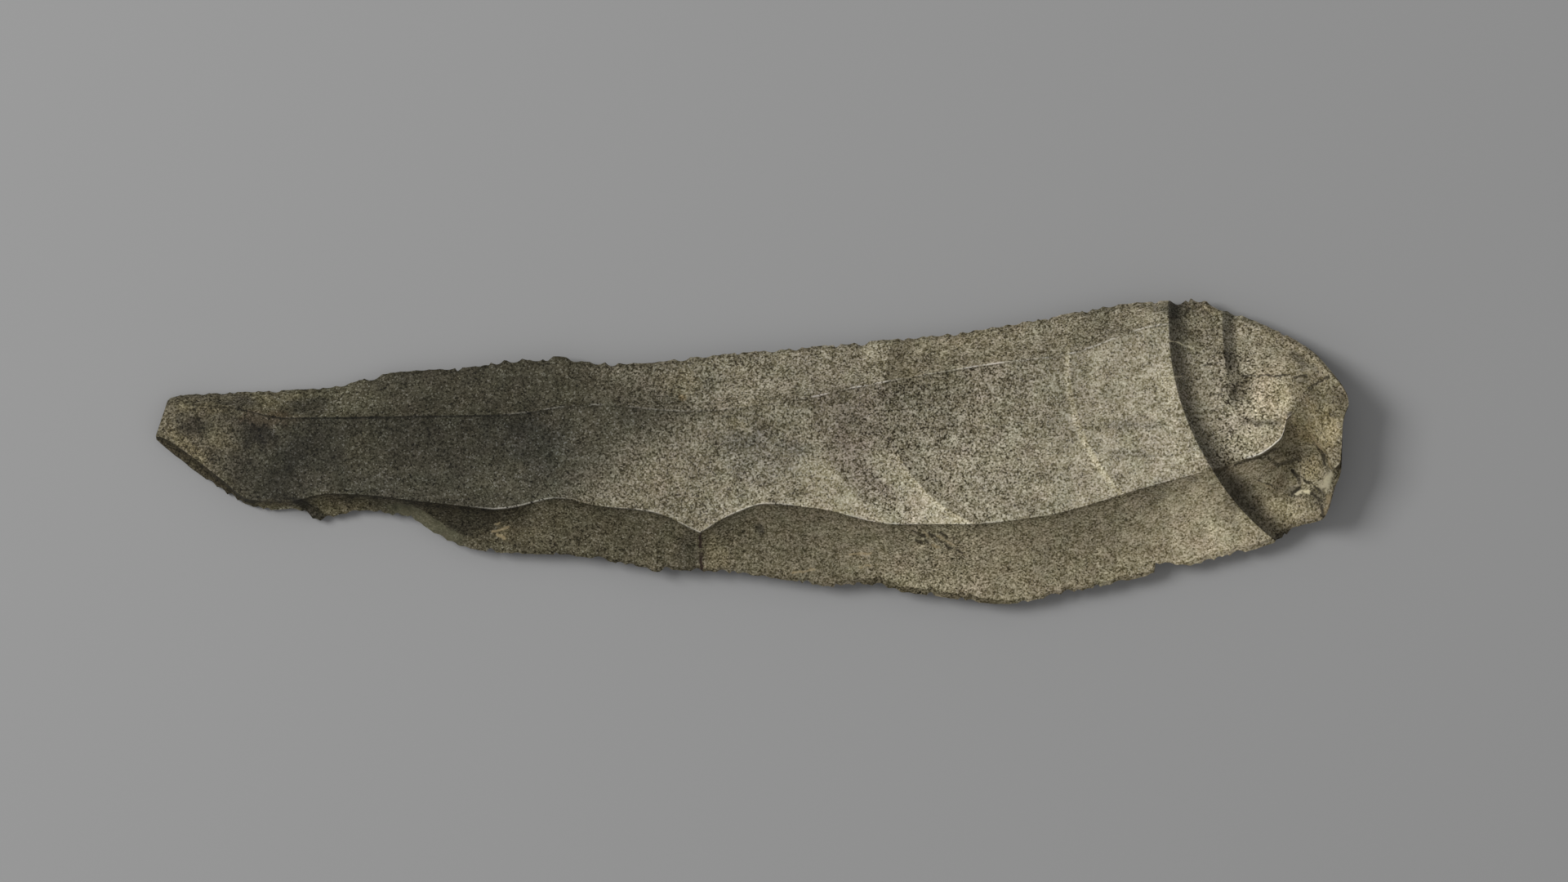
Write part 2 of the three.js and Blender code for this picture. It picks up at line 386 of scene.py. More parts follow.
@dataclass
class Outline:
    """The blade's two edges seen from above."""

    upper: Line = Line(
        (-85, 2.3), (-84, 5.3), (-83.2, 7.4), (-82, 7.8), (-78, 8.1), (-66, 8.6), (-61, 8.9), (-51, 11.1),
        (-39, 12), (-36, 12.7), (-27, 12.9), (-23, 12.6), (-15, 12.4), (-11, 13), (12, 15.1),
        (30, 16.9), (42, 18.9), (54, 21), (60, 21.4), (63.5, 21.7), (66, 20.8), (72, 18.4),
        (79.6, 14.5), (82.9, 10.9), (84.8, 8), (85, 7))
    lower: Line = Line(
        (-85, 1.6), (-84, 0.7), (-78, -3.9), (-72, -7.7), (-69, -8.4), (-65.5, -8.2), (-64.2, -8.6),
        (-62.9, -9.5), (-61.3, -9.9), (-60.6, -9.6), (-57.4, -8.8), (-55.5, -8.5), (-50.5, -9.3),
        (-48, -9.9), (-45.4, -11.6), (-41.7, -13.5), (-36, -14.5),
        (-27, -14.8), (-15, -16.6), (0, -17.7), (12, -19.5), (24, -20.4), (36, -21.8),
        (45, -20.3), (57.4, -17.6), (66, -15.5), (75, -12.9), (78, -10.8), (81.4, -9.8),
        (82.4, -7.9), (83, -5.5), (84, -2.6), (84.2, 3.8), (85, 6.4))
    upper_bites: tuple[Bite, ...] = (
        Bite(-34, 2.2, -0.3), Bite(-27.7, 2.2, -0.5), Bite(61.1, 1.6, 0.3), Bite(66.7, 1.8, 0.5))
    lower_bites: tuple[Bite, ...] = (Bite(-13.6, 1.2, -0.5), Bite(16.5, 5, 0.75))
    upper_nibbling: Nibbling = Nibbling(seed=3)
    lower_nibbling: Nibbling = Nibbling(seed=8)
    snap_at: float = 57.5
    snap_shoulder: float = 0.2
    snap_run: float = 5.2
    snap_depth: float = 1.5

    def upper_edge(self, x: np.ndarray) -> np.ndarray:
        """Where the straighter edge is at x."""
        bites = sum(bite.cut(x) for bite in self.upper_bites)
        return self.upper(x) - bites - self.upper_nibbling.cut(x)

    def lower_edge(self, x: np.ndarray) -> np.ndarray:
        """Where the bellied edge is at x, before a piece snapped off it."""
        bites = sum(bite.cut(x) for bite in self.lower_bites)
        return self.lower(x) + bites + self.lower_nibbling.cut(x)

    def snapped_off(self, x: np.ndarray) -> np.ndarray:
        """How far in the snapped piece reached at x."""
        along = x - self.snap_at
        back = np.clip(1.0 - along / self.snap_run, 0.0, 1.0)
        return self.snap_depth * smoothstep(along, 0.0, self.snap_shoulder) * back


@dataclass
class InnerFace:
    """The hidden flat face: a shallow arch that bears on its bulb and on the tip end."""

    arch_rise: float = 2.2
    tip_bearing: float = -72.0
    bulb: float = 58.0
    tip_lift: float = 0.5
    butt_lift: float = 2.3
    blade_crown: float = 0.5
    bulb_crown: float = 2.2
    bulb_reach: float = 26.0
    flat_depth: float = 0.3
    ring_pitch: float = 9.0
    ring_height: float = 0.06
    ring_clear: float = 0.4

    def height(self, x: np.ndarray, across: np.ndarray) -> np.ndarray:
        """Height of the inner face over the table.

        Args:
            x: Places along the blade.
            across: -1 at the lower edge to +1 at the upper one.

        Returns:
            Heights, with the bearing places flat at 0.
        """
        tip = self.tip_lift * ((self.tip_bearing - x) / (self.tip_bearing - TIP)) ** 2
        butt = self.butt_lift * ((x - self.bulb) / (BUTT - self.bulb)) ** 2
        turn = math.pi * (x - self.tip_bearing) / (self.bulb - self.tip_bearing)
        profile = np.where(x < self.tip_bearing, tip, self.arch_rise * np.sin(turn))
        profile = np.where(x > self.bulb, butt, profile)
        swell = np.exp(-(((x - self.bulb) / self.bulb_reach) ** 2))
        crown = lerp(self.blade_crown, self.bulb_crown, swell)
        return np.maximum(0.0, profile + crown * across**2 - self.flat_depth)

    def ringed(self, x: np.ndarray, y: np.ndarray, across: np.ndarray) -> np.ndarray:
        """Height with the faint rings that run out from the butt and die at both edges.

        Args:
            x: Places along the blade.
            y: Places across it.
            across: -1 at the lower edge to +1 at the upper one.

        Returns:
            Heights, nowhere under the table.
        """
        plain = self.height(x, across)
        turn = 2.0 * math.pi * np.hypot(BUTT - x, y) / self.ring_pitch
        rings = self.ring_height * np.sin(turn) * (1.0 - across**2)
        return np.maximum(0.0, plain + rings * smoothstep(plain, 0.0, self.ring_clear))


@dataclass
class OuterFace:
    """The scarred outer face: two ridges, three strips, ripples, bowls and hinge steps."""

    upper_ridge: Line = Line(
        (-85, 2.2), (-83, 6.8), (-74.5, 6.3), (-66.4, 4.8), (-41.8, 5.1), (-35.5, 5.2),
        (-22.8, 6.6), (-9.2, 5.7), (7.6, 7.5), (14.6, 9), (35.2, 12.5), (44.7, 13.7),
        (59.4, 18), (62.9, 15.2), (67.5, 14), (76, 12.5), (80.5, 11.5), (82.6, 10.1),
        (84.4, 8.2), (85, 6.7))
    lower_ridge: Chain = Chain(
        [(-85, 2.05), (-84.2, 1.9), (-80.3, -0.5), (-75.3, -4.3), (-71.8, -6.9), (-70.3, -7.1)],
        [(-70.3, -7.1), (-66.3, -7.2), (-60.2, -6.1), (-55, -6.3), (-48, -7.1), (-36.8, -8.3)],
        [(-36.8, -8.3), (-34.5, -8.1), (-27.5, -6.7), (-21.9, -7.8), (-14.4, -8.6), (SPUR_X, -11.6)],
        [(SPUR_X, -11.6), (-2.3, -8.8), (2, -7.5), (9, -8.1), (20.7, -10.4), (29.8, -10.4),
         (41, -9.3), (55.9, -5.2), (STEP_X, -2.5)],
        [(STEP_X, -2.5), (69.9, -1.2), (72.2, -0.5), (74.5, 1.1), (75.5, 2.2), (76.1, 4.6), (76.8, 5.2)],
        [(76.8, 5.2), (79, 3.2), (80.5, 1.2), (81.8, -0.8), (83, -2.4), (83.8, -1.5), (84.2, 4.3),
         (85, 6.55)])
    upper_height: Line = Line(
        (-85, 2.5), (-60, 4.4), (-20, 6.1), (20, 7), (50, 6.9), (64, 7.4), (76, 8.3), (85, 7.2))
    lower_height: Line = Line(
        (-85, 2.7), (-70, 3.9), (-37, 6), (-20, 6.9), (SPUR_X, 7.3), (2, 8), (38, 10),
        (STEP_X, 11.2), (76, 10.9), (80, 9.8), (85, 7.3))
    upper_hollow: Line = Line(
        (-85, 0), (-40, 0.3), (50, 0.35), (66, -0.5), (85, 0))
    middle_hollow: Line = Line(
        (-85, 0.1), (-40, 0.5), (20, 0.8), (56, 0.9), (70, -0.4), (85, 0))
    lower_hollow: Line = Line(
        (-85, 0), (-60, 0.5), (-40, 0.7), (30, 0.8), (60, 0.7), (85, 0.2))
    upper_bevel: Line = Line(
        (-85, 0.2), (-78, 0.5), (20, 0.45), (60, 0.7), (80, 0.8), (85, 0.2))
    lower_bevel: Line = Line(
        (-85, 0.2), (-70, 0.3), (-54, 0.7), (-52.8, 1.3), (-48.9, 1.8), (-46.2, 2.2), (-43.9, 1.9),
        (-41.5, 1.7), (-37.3, 1.6), (-32.6, 0.5), (12, 0.5), (17, 0.9), (30, 0.8), (40, 0.5),
        (80, 0.8), (85, 0.2))
    bevel_raise: float = 0.25
    upper_bevel_most: float = 0.4
    lower_bevel_most: float = 0.75
    edge_thickness: float = 0.6
    platform_thickness: float = 4.0
    platform_zone: float = 8.0
    arris_depth: float = 0.45
    arris_reach: float = 7.0
    depth_of_stone: float = 3.5
    grain_height: float = 0.025
    grain_clear: float = 0.5
    grain_layers: tuple[tuple[float, float, int], ...] = ((1.0, 1.3, 21), (0.6, 0.6, 22))
    step: Ripple = Ripple(98.5, 18.3, 39.1, 0.5, 6, 1.7, 2.0, 26, crosses=True)
    second_step: Ripple = Ripple(112.1, 17.8, 45, 0.2, 2, 0.7, 1, 9, foot=1)
    faint_ripple: Ripple = Ripple(71.5, 12.5, 26.3, 0.16, 1.5, 0.16, 1.5, 4)
    wide_ripple: Ripple = Ripple(38.9, 8.5, 20, 0.5, 3.5, 0.45, 1.6, 8, high_share=0.45)
    tip_ripple: Ripple = Ripple(30, 9, 21, 0.22, 3.5, 0.2, 1.5, 5, high_share=0.4)
    bowls: tuple[Bowl, ...] = (
        Bowl(72.5, -6.5, 8, 0.8), Bowl(79.5, -3.5, 5.5, 1), Bowl(81.5, 5, 4.5, 0.6), Bowl(-55, -8, 6, 0.5),
        Bowl(82.0, -4.5, 1.4, 0.45), Bowl(78.8, -5.7, 0.9, 0.3), Bowl(82.7, 5.2, 0.9, 0.35))
    ledges: tuple[Ledge, ...] = (
        Ledge(((73.0, -1.1), (77.5, -1.3), (78.2, -4.2), (77.1, -5.9)), 0.8, 0.3, 4.0),
        Ledge(((77.2, -2.2), (80.2, -4.6)), 0.4, 0.2, 1.5),
        Ledge(((78.6, 3.4), (80.4, 1.0), (81.6, -0.8), (82.2, -2.6)), 0.8, 0.25, 3.0),
        Ledge(((81.5, -9.1), (80.8, -6.2)), 0.5, 0.2, 2.0))

    def grain(self, x: np.ndarray, y: np.ndarray) -> np.ndarray:
        """Height of the worn grain at a point.

        Args:
            x: Places along the blade.
            y: Places across it.

        Returns:
            Heights about 0, in x's shape.
        """
        layers = (share * lattice_noise(x, y, pitch, seed) for share, pitch, seed in self.grain_layers)
        return self.grain_height * sum(layers)

    def carved(
        self, x: np.ndarray, y: np.ndarray, t: np.ndarray, foot: np.ndarray, lower: bool
    ) -> np.ndarray:
        """Height that ripples, bowls and hinge steps add to a strip.

        Args:
            x: Places along the blade.
            y: Places across it.
            t: Share of the way across the strip.
            foot: Where the lower ridge is, as a column.
            lower: Whether this is the strip below the lower ridge, where most ripples die.

        Returns:
            Heights in y's shape.
        """
        xs = np.broadcast_to(x, y.shape)
        height = np.zeros(y.shape)
        for ripple in (self.step, self.second_step, self.faint_ripple, self.wide_ripple, self.tip_ripple):
            dies = lower and not ripple.crosses
            height += (1.0 - t) * ripple.rise(x, foot) if dies else ripple.rise(xs, y)
        for scar in self.bowls + self.ledges:
            height -= scar.cut(xs, y)
        return height


@dataclass
class Rings:
    """Every point of the blade, one row per station, and the strip that each column is on."""

    x: np.ndarray
    y: np.ndarray
    z: np.ndarray
    strip: np.ndarray


@dataclass
class FlintBlade:
    """The whole stone, as rings of points from the tip to the butt."""

    outline: Outline = field(default_factory=Outline)
    outer: OuterFace = field(default_factory=OuterFace)
    inner: InnerFace = field(default_factory=InnerFace)
    pitch: float = 0.37
    end_pitch: float = 0.05
    end_zone: float = 1.6
    least_strip: float = 0.15

    def stations(self) -> np.ndarray:
        """Places of the rings along the blade: even, and closer at both ends.

        Returns:
            One column of rising places from the tip to the butt.
        """
        body = np.arange(TIP + self.end_zone, BUTT - self.end_zone, self.pitch)
        tip = np.arange(TIP, TIP + self.end_zone, self.end_pitch)
        butt = np.arange(BUTT - self.end_zone, BUTT + self.end_pitch / 2, self.end_pitch)
        snap = self.outline.snap_at
        marks = np.array([SPUR_X, snap, snap + self.outline.snap_shoulder])
        clear = np.abs(body[:, None] - marks[None, :]).min(axis=1) > self.pitch / 3
        places = np.concatenate([tip, body[clear], marks, butt])
        return np.unique(np.round(np.clip(places, TIP, BUTT), 4))[:, None]

    def rim(self, x: np.ndarray) -> np.ndarray:
        """Height of the top of the edge at x, which is thicker at the struck platform."""
        platform = smoothstep(x, BUTT - self.outer.platform_zone, BUTT)
        thickness = lerp(self.outer.edge_thickness, self.outer.platform_thickness, platform)
        return self.inner.height(x, np.ones_like(x)) + thickness

    def top(self, x: np.ndarray) -> tuple[np.ndarray, np.ndarray, np.ndarray]:
        """The outer face's points at each station, from the upper edge to the lower one.

        Args:
            x: Stations, as a column.

        Returns:
            y and z, each a row of points per station, and the strip that each column is on.
        """
        outer = self.outer
        zero, one = np.zeros_like(x), np.ones_like(x)
        high, low = self.outline.upper_edge(x), self.outline.lower_edge(x)
        upper = np.clip(outer.upper_ridge(x), low + 2 * self.least_strip, high - self.least_strip)
        lower = np.clip(outer.lower_ridge(x), low + self.least_strip, upper - self.least_strip / 2)
        rim, upper_z, lower_z = self.rim(x), outer.upper_height(x), outer.lower_height(x)
        break_u = np.minimum(outer.upper_bevel(x) / (high - upper), outer.upper_bevel_most)
        break_l = 1.0 - np.minimum(outer.lower_bevel(x) / (lower - low), outer.lower_bevel_most)
        upper_side = (high, upper, rim, upper_z, outer.upper_hollow(x))
        middle_side = (upper, lower, upper_z, lower_z, outer.middle_hollow(x))
        lower_side = (lower, low, lower_z, rim, outer.lower_hollow(x))
        plan = {
            Strip.UPPER_BEVEL: (upper_side, zero, break_u),
            Strip.UPPER: (upper_side, break_u, one),
            Strip.MIDDLE: (middle_side, zero, one),
            Strip.LOWER: (lower_side, zero, break_l),
            Strip.LOWER_BEVEL: (lower_side, break_l, one),
        }
        ys, zs, strips = [], [], []
        for strip, ((y0, y1, z0, z1, hollow), start, end) in plan.items():
            shares = crowded(STEPS[strip])
            t = lerp(start, end, shares if strip is Strip.UPPER_BEVEL else shares[:, 1:])
            y = lerp(y0, y1, t)
            belly = hump(t)
            z = lerp(z0, z1, t) - hollow * belly
            below = strip in (Strip.LOWER, Strip.LOWER_BEVEL)
            if below:
                y = np.maximum(y, low + self.outline.snapped_off(x))
                away = 1.0 - np.exp(-np.abs(x - SPUR_X) / outer.arris_reach)
                z = z - outer.arris_depth * belly * away
                z = z + outer.bevel_raise * np.minimum(t / break_l, (1.0 - t) / (1.0 - break_l))
            elif strip is not Strip.MIDDLE:
                z = z + outer.bevel_raise * np.minimum((1.0 - t) / (1.0 - break_u), t / break_u)
            spare = smoothstep(z - rim, 0.0, outer.depth_of_stone)
            rough = outer.grain(np.broadcast_to(x, y.shape), y)
            worn = rough * smoothstep(z - rim, 0.0, outer.grain_clear)
            z = z + spare * outer.carved(x, y, t, lower, below) + worn
            ys.append(y)
            zs.append(np.maximum(z, rim))
            strips.append(np.full(y.shape[1], strip.value))
        return np.hstack(ys), np.hstack(zs), np.concatenate(strips)

    def rings(self) -> Rings:
        """All points: over the top, down the lower rim, back underneath and up the upper rim.

        Returns:
            The points in millimetres, with the strip of each column.
        """
        x = self.stations()
        y, z, strip = self.top(x)
        high, low = y[:, :1], y[:, -1:]
        share = np.linspace(0.0, 1.0, STEPS[Strip.INNER] + 1)[None, :]
        inner_y = lerp(low, high, share)
        inner_z = self.inner.ringed(x, inner_y, 2.0 * share - 1.0)
        down = np.linspace(0.0, 1.0, STEPS[Strip.LOWER_RIM] + 1)[None, 1:-1]
        up = np.linspace(0.0, 1.0, STEPS[Strip.UPPER_RIM] + 1)[None, 1:-1]
        low_rim = lerp(z[:, -1:], inner_z[:, :1], down)
        high_rim = lerp(inner_z[:, -1:], z[:, :1], up)
        ys = np.hstack([y, low + 0 * down, inner_y, high + 0 * up])
        zs = np.hstack([z, low_rim, inner_z, high_rim])
        columns = [strip]
        for part, width in ((Strip.LOWER_RIM, down), (Strip.INNER, share), (Strip.UPPER_RIM, up)):
            columns.append(np.full(width.shape[1], part.value))
        return Rings(np.broadcast_to(x, ys.shape), ys, zs, np.concatenate(columns))


# Where the stone is dark, stained or warm, and where shade and highlights are painted on it

class Patch(Enum):
    """Parts of the stone with a material of their own, so that each holds only its own marks."""

    PLAIN = 0
    MIDDLE = 1
    BELLY = 2
    BUTT = 3


class Zone(Enum):
    """Names of the masks that the mesh carries for the finish."""

    SHADE = "shade"
    PATINA = "patina"
    # Darkening: painted shade under ridges, on steep bevels and tip facets, partly dirt and stain.
    GRIME = "grime"
    # Painted highlight where the face turns to the light.
    BLEACH = "bleach"
    WARMTH = "warmth"
    MOSS = "moss"
    ARRIS = "arris"
    EVEN = "even"


@dataclass(frozen=True)
class Stretch:
    """A stretch of the blade's length that fades in over its start and out over its end."""

    start: Point
    end: Point

    def share(self, x: np.ndarray) -> np.ndarray:
        """How much of the stretch there is at x, from 0 to 1."""
        return smoothstep(x, *self.start) * (1.0 - smoothstep(x, *self.end))


@dataclass(frozen=True)
class WornLine:
    """A thin line worn along a ridge, broken here and there."""

    wear: Line
    offset: float
    width: float
    pitch: float
    seed: int
    climb: Point

    def mask(self, x: np.ndarray, gap: np.ndarray) -> np.ndarray:
        """Share of the worn line at a point.

        Args:
            x: Places along the blade.
            gap: How far above the ridge they are.

        Returns:
            Shares from 0 to 1, in x's shape.
        """
        line = np.exp(-(((gap - self.offset) / self.width) ** 2))
        broken = 0.5 + 0.5 * lattice_noise(x, 0 * x, self.pitch, self.seed)
        return line * self.wear(x) * smoothstep(broken, *self.climb)


@dataclass
class WeatheringAndPaintedLight:
    """Soft zones of the outer face, worked out from its ridges and ripples: patina, warmth, wear, painted
    shade and painted highlights.
    """

    blade: FlintBlade
    middle_edge: Line = Line((-9, -27), (0, -17), (7, -7))
    middle_fade: Point = (-11.0, 11.0)
    upper_edge: Line = Line((5, -9), (9, -12), (13, -16))
    upper_fade: Point = (-17.0, 9.0)
    lower_share: Line = Line(
        (-60, 0.9), (-12, 0.85), (-6, 0.6), (10, 0.5), (40, 0.3), (60, 0.12))
    bare_tip: Point = (-79.0, -67.0)
    bare_share: float = 0.6
    # Painted shade under the lower ridge.
    ridge_shade: tuple[Point, ...] = ((0.5, 0.3), (0.4, 1.2))
    # A stretch of the lower strip that is darker.
    scar: Stretch = Stretch((-50.0, -46.0), (-33.0, -30.0))
    scar_darkening: float = 0.5
    # Painted shade on the tip's lower facets, which face away from the light.
    tip_break: Point = (-71.5, -69.5)
    tip_shade: float = 0.75
    # Dark line just below the upper ridge: painted shade, partly a reddish stain.
    crease: Line = Line(
        (-81, 0), (-79, 0.6), (-73, 1), (-38, 1), (-33, 0.5), (6, 0.4), (12, 0.5), (58, 0.4), (60, 0))
    crease_drop: float = 0.2
    crease_width: float = 0.15
    # Painted shade on the steep edge bevels, darkest on the lower edge's retouch.
    retouch: Stretch = Stretch((12.0, 17.0), (35.0, 39.0))
    bevel_from: Point = (-38.0, -30.0)
    bevel_shade: float = 0.3
    retouch_shade: float = 0.5
    upper_bevel_shade: float = 0.25
    # Painted highlight beside the lower ridge, where the hollow middle facet turns to the light.
    ridge_highlights: tuple[tuple[float, float, Stretch], ...] = (
        (0.25, 1.0, Stretch((-32.0, -24.0), (30.0, 40.0))),
        (0.8, 0.9, Stretch((-71.0, -67.0), (-62.0, -57.0))))
    # Painted highlight in the scoop at the butt, whose far wall faces the light.
    scoop_at: Point = (70.5, 2.5)
    scoop_half: Point = (5.0, 6.0)
    scoop_highlight_share: float = 0.3
    upper_wear: WornLine = WornLine(Line(
        (-36, 0), (-32, 0.2), (-24, 0.28), (-18, 0.18), (-10, 0.24), (-4, 0.2), (-3, 0), (7, 0), (7.6, 1),
        (10.5, 1), (11, 0.15), (14, 0.2), (14.6, 1), (19.2, 1), (19.8, 0.25), (29.8, 0.35), (30.3, 1),
        (36, 1), (36.6, 0.4), (42.5, 0.45), (43.1, 0.85), (58, 0.7), (60, 0)),
        0.0, 0.08, 1.3, 33, (0.15, 0.4))
    # Near the butt the lower worn line also paints the highlight on the lip's rim.
    lower_wear_and_rim_highlight: WornLine = WornLine(Line(
        (-42, 0), (-38, 0.2), (-34, 0.5), (-26, 0.2), (-14, 0.35), (-8, 0.45), (30, 0.35), (45, 0.12),
        (62, 0.12), (69, 0.2), (71, 0.9), (76, 1), (76.6, 0)),
        0.03, 0.1, 2.3, 31, (0.25, 0.65))
    streak_lengths: Point = (3.5, 6.0)
    streak_soft: float = 1.5
    streak_share: float = 0.25
    streak_top: Point = (-2.5, 0.5)
    middle_even: Line = Line(
        (-10, 0.2), (10, 0.15), (20, 0), (36, 0.08), (46, 0.3), (58, 0.3), (65, 0.2),
        (68, -0.1), (72, 0), (75, 0.15), (79, 0.3))
    upper_even: float = 0.15
    lower_even: Line = Line(
        (-2, 0.25), (4, 0.42), (10, 0.42), (20, 0.25), (24, 0), (30, 0), (34, 0.25))
    upper_warmth: Line = Line((-25, 0.35), (-8, 0), (17, 0), (22, 0.2))
    butt_warmth: float = 0.65
    warm_butt: Point = (64.0, 80.0)
    tip_warmth: float = 0.7
    warm_tip: Point = (-79.0, -68.0)
    lower_warmth: float = 0.7
    moss: Stretch = Stretch((-53.0, -50.5), (-42.5, -40.5))
    upper_shade: Line = Line(
        (-84, 0.55), (-77, 0.54), (-71, 1.17), (-58, 1.08), (-48, 0.66), (-34, 0.69), (-22, 0.81),
        (-12, 0.56), (0, 0.72), (12, 0.71), (22, 0.7), (32, 0.81), (44, 0.72), (50, 0.63), (58, 0.92),
        (64, 0.69), (68, 0.9), (73, 0.93), (84, 0.91))
    high_shade: Line = Line(
        (-84, 0.68), (-76, 0.48), (-68, 0.89), (-62, 0.53), (-56, 0.53), (-33, 0.5), (-22, 1.04),
        (-12, 0.71), (2, 0.65), (8, 0.72), (14, 0.71), (27, 0.65), (33, 0.78), (43, 0.82), (48, 0.95),
        (58, 0.96), (62, 0.88), (68, 0.79), (73, 0.93), (84, 0.75))
    low_shade: Line = Line(
        (-84, 0.66), (-72, 0.6), (-67, 0.36), (-62, 0.67), (-42, 0.71), (-37, 0.94), (-30, 0.82),
        (-22, 0.75), (-15, 0.7), (-8, 0.73), (0, 0.79), (18, 0.93), (30, 0.99), (38, 0.86), (50, 0.99),
        (60, 0.98), (68, 0.81), (72, 1.09), (84, 0.78))
    lower_shade: Line = Line(
        (-75, 0.67), (-67, 1.37), (-55, 0.74), (-42, 0.87), (-36, 1.2), (-31, 1.29), (-25, 1.12),
        (-14, 1.17), (-7, 1.12), (3, 0.94), (10, 0.97), (18, 1.15), (33, 1.17), (40, 1.09), (50, 0.99),
        (58, 1.2), (67, 1.4), (70, 1.22), (78, 0.93), (84, 0.54))
    shade_blend: Point = (0.15, 0.85)
    least_width: float = 0.1

    def shade(self, at: Rings) -> np.ndarray:
        """How bright the stone is along each strip, as a share of its plain tone.

        Args:
            at: The blade's points.

        Returns:
            Shares about 1.
        """
        upper, lower = self.blade.outer.upper_ridge(at.x), self.blade.outer.lower_ridge(at.x)
        down = (upper - at.y) / np.maximum(upper - lower, self.least_width)
        middle = lerp(self.high_shade(at.x), self.low_shade(at.x), smoothstep(down, *self.shade_blend))
        share = np.where(at.strip == Strip.MIDDLE.value, middle, self.upper_shade(at.x))
        below = (at.strip >= Strip.LOWER.value) & (at.strip < Strip.UPPER_RIM.value)
        return np.where(below, self.lower_shade(at.x), share)

    def patina(self, at: Rings) -> np.ndarray:
        """Share of dark patina: full over the tip half, gone at the butt.

        Args:
            at: The blade's points.

        Returns:
            Shares from 0 to 1.
        """
        middle = 1.0 - smoothstep(at.x - self.middle_edge(at.y), *self.middle_fade)
        upper = 1.0 - smoothstep(at.x - self.upper_edge(at.y), *self.upper_fade)
        share = np.where(at.strip == Strip.MIDDLE.value, middle, upper)
        share = np.where(at.strip >= Strip.LOWER.value, self.lower_share(at.x), share)
        return share * (1.0 - self.bare_share * (1.0 - smoothstep(at.x, *self.bare_tip)))

    def grime(self, at: Rings) -> np.ndarray:
        """Darkening: painted shade under the lower ridge, on the tip's lower facets and on the steep edge
        bevels, a dark line below the upper ridge that is partly painted shade and partly a reddish stain,
        and a darker stretch of the lower strip.

        Args:
            at: The blade's points.

        Returns:
            Shares from 0 to 1.
        """
        outer = self.blade.outer
        # Painted shade under the lower ridge and on the tip's lower facets; the scar stretch is only darker.
        gap = np.maximum(outer.lower_ridge(at.x) - at.y, 0.0)
        under_ridge = sum(share * np.exp(-gap / reach) for share, reach in self.ridge_shade)
        total = (at.strip == Strip.LOWER.value) * (under_ridge + self.scar_darkening * self.scar.share(at.x))
        # Painted shade on the tip's lower facets.
        at_tip = 1.0 - smoothstep(at.x, *self.tip_break)
        total += self.tip_shade * (at.strip >= Strip.LOWER.value) * at_tip
        # Dark line below the upper ridge: painted shade, partly a reddish stain.
        above = at.y - outer.upper_ridge(at.x) + self.crease_drop
        total += self.crease(at.x) * np.exp(-((above / self.crease_width) ** 2))
        # Painted shade on the steep edge bevels.
        bevel = self.bevel_shade + self.retouch_shade * self.retouch.share(at.x)
        total += bevel * (at.strip == Strip.LOWER_BEVEL.value) * smoothstep(at.x, *self.bevel_from)
        total += self.upper_bevel_shade * (at.strip == Strip.UPPER_BEVEL.value)
        return np.clip(total, 0.0, 1.0)

    def bleach(self, at: Rings) -> np.ndarray:
        """Painted highlight beside the lower ridge on the middle facet, where the hollow facet turns to the
        light, and in the scoop of the butt.

        Args:
            at: The blade's points.

        Returns:
            Shares from 0 to 1.
        """
        gap = np.maximum(at.y - self.blade.outer.lower_ridge(at.x), 0.0)
        pale = sum(
            share * np.exp(-gap / reach) * stretch.share(at.x) for share, reach, stretch in self.ridge_highlights)
        along = (at.x - self.scoop_at[0]) / self.scoop_half[0]
        across = (at.y - self.scoop_at[1]) / self.scoop_half[1]
        scoop_highlight = self.scoop_highlight_share * np.exp(-(along**2 + across**2))
        return np.clip((at.strip == Strip.MIDDLE.value) * (pale + scoop_highlight), 0.0, 1.0)

    def arris(self, at: Rings) -> np.ndarray:
        """Thin worn lines along the two ridges; near the butt the lower one also paints the highlight on the
        lip's rim.

        Args:
            at: The blade's points.

        Returns:
            Shares from 0 to 1.
        """
        upper = self.upper_wear.mask(at.x, at.y - self.blade.outer.upper_ridge(at.x))
        lower = self.lower_wear_and_rim_highlight.mask(at.x, at.y - self.blade.outer.lower_ridge(at.x))
        return np.clip(upper + lower, 0.0, 1.0)

    def streak(self, at: Rings) -> np.ndarray:
        """Smooth streaks on the tip side of two ripples, where the grain shows less.

        Args:
            at: The blade's points.

        Returns:
            Shares from 0 to 1.
        """
        total = np.zeros(at.x.shape)
        ripples = (self.blade.outer.wide_ripple, self.blade.outer.tip_ripple)
        for ripple, length in zip(ripples, self.streak_lengths):
            inside = ripple.inside(at.x, at.y)
            begun = smoothstep(inside, -length - self.streak_soft, -length + self.streak_soft)
            total += begun * (inside < 0.0) * (at.x < ripple.x)
        return self.streak_share * np.minimum(total, 1.0) * (1.0 - smoothstep(at.y, *self.streak_top))

    def warmth(self, at: Rings) -> np.ndarray:
        """How much warmer the stone is at both ends and along the outer strips.

        Args:
            at: The blade's points.

        Returns:
            Shares from 0 to 1.
        """
        ends = self.butt_warmth * smoothstep(at.x, *self.warm_butt)
        ends = ends + self.tip_warmth * (1.0 - smoothstep(at.x, *self.warm_tip))
        above = np.where(at.strip <= Strip.UPPER.value, self.upper_warmth(at.x), 0.0)
        return np.maximum(ends, np.where(at.strip >= Strip.LOWER.value, self.lower_warmth, above))

    def even(self, at: Rings) -> np.ndarray:
        """How much the grain is smoothed out, or stands out more where it is negative.

        Args:
            at: The blade's points.

        Returns:
            Shares of the grain's contrast that are lost.
        """
        middle = self.middle_even(at.x) + self.streak(at)
        even = np.where(at.strip == Strip.MIDDLE.value, middle, self.upper_even)
        return np.where(at.strip >= Strip.LOWER.value, self.lower_even(at.x), even)

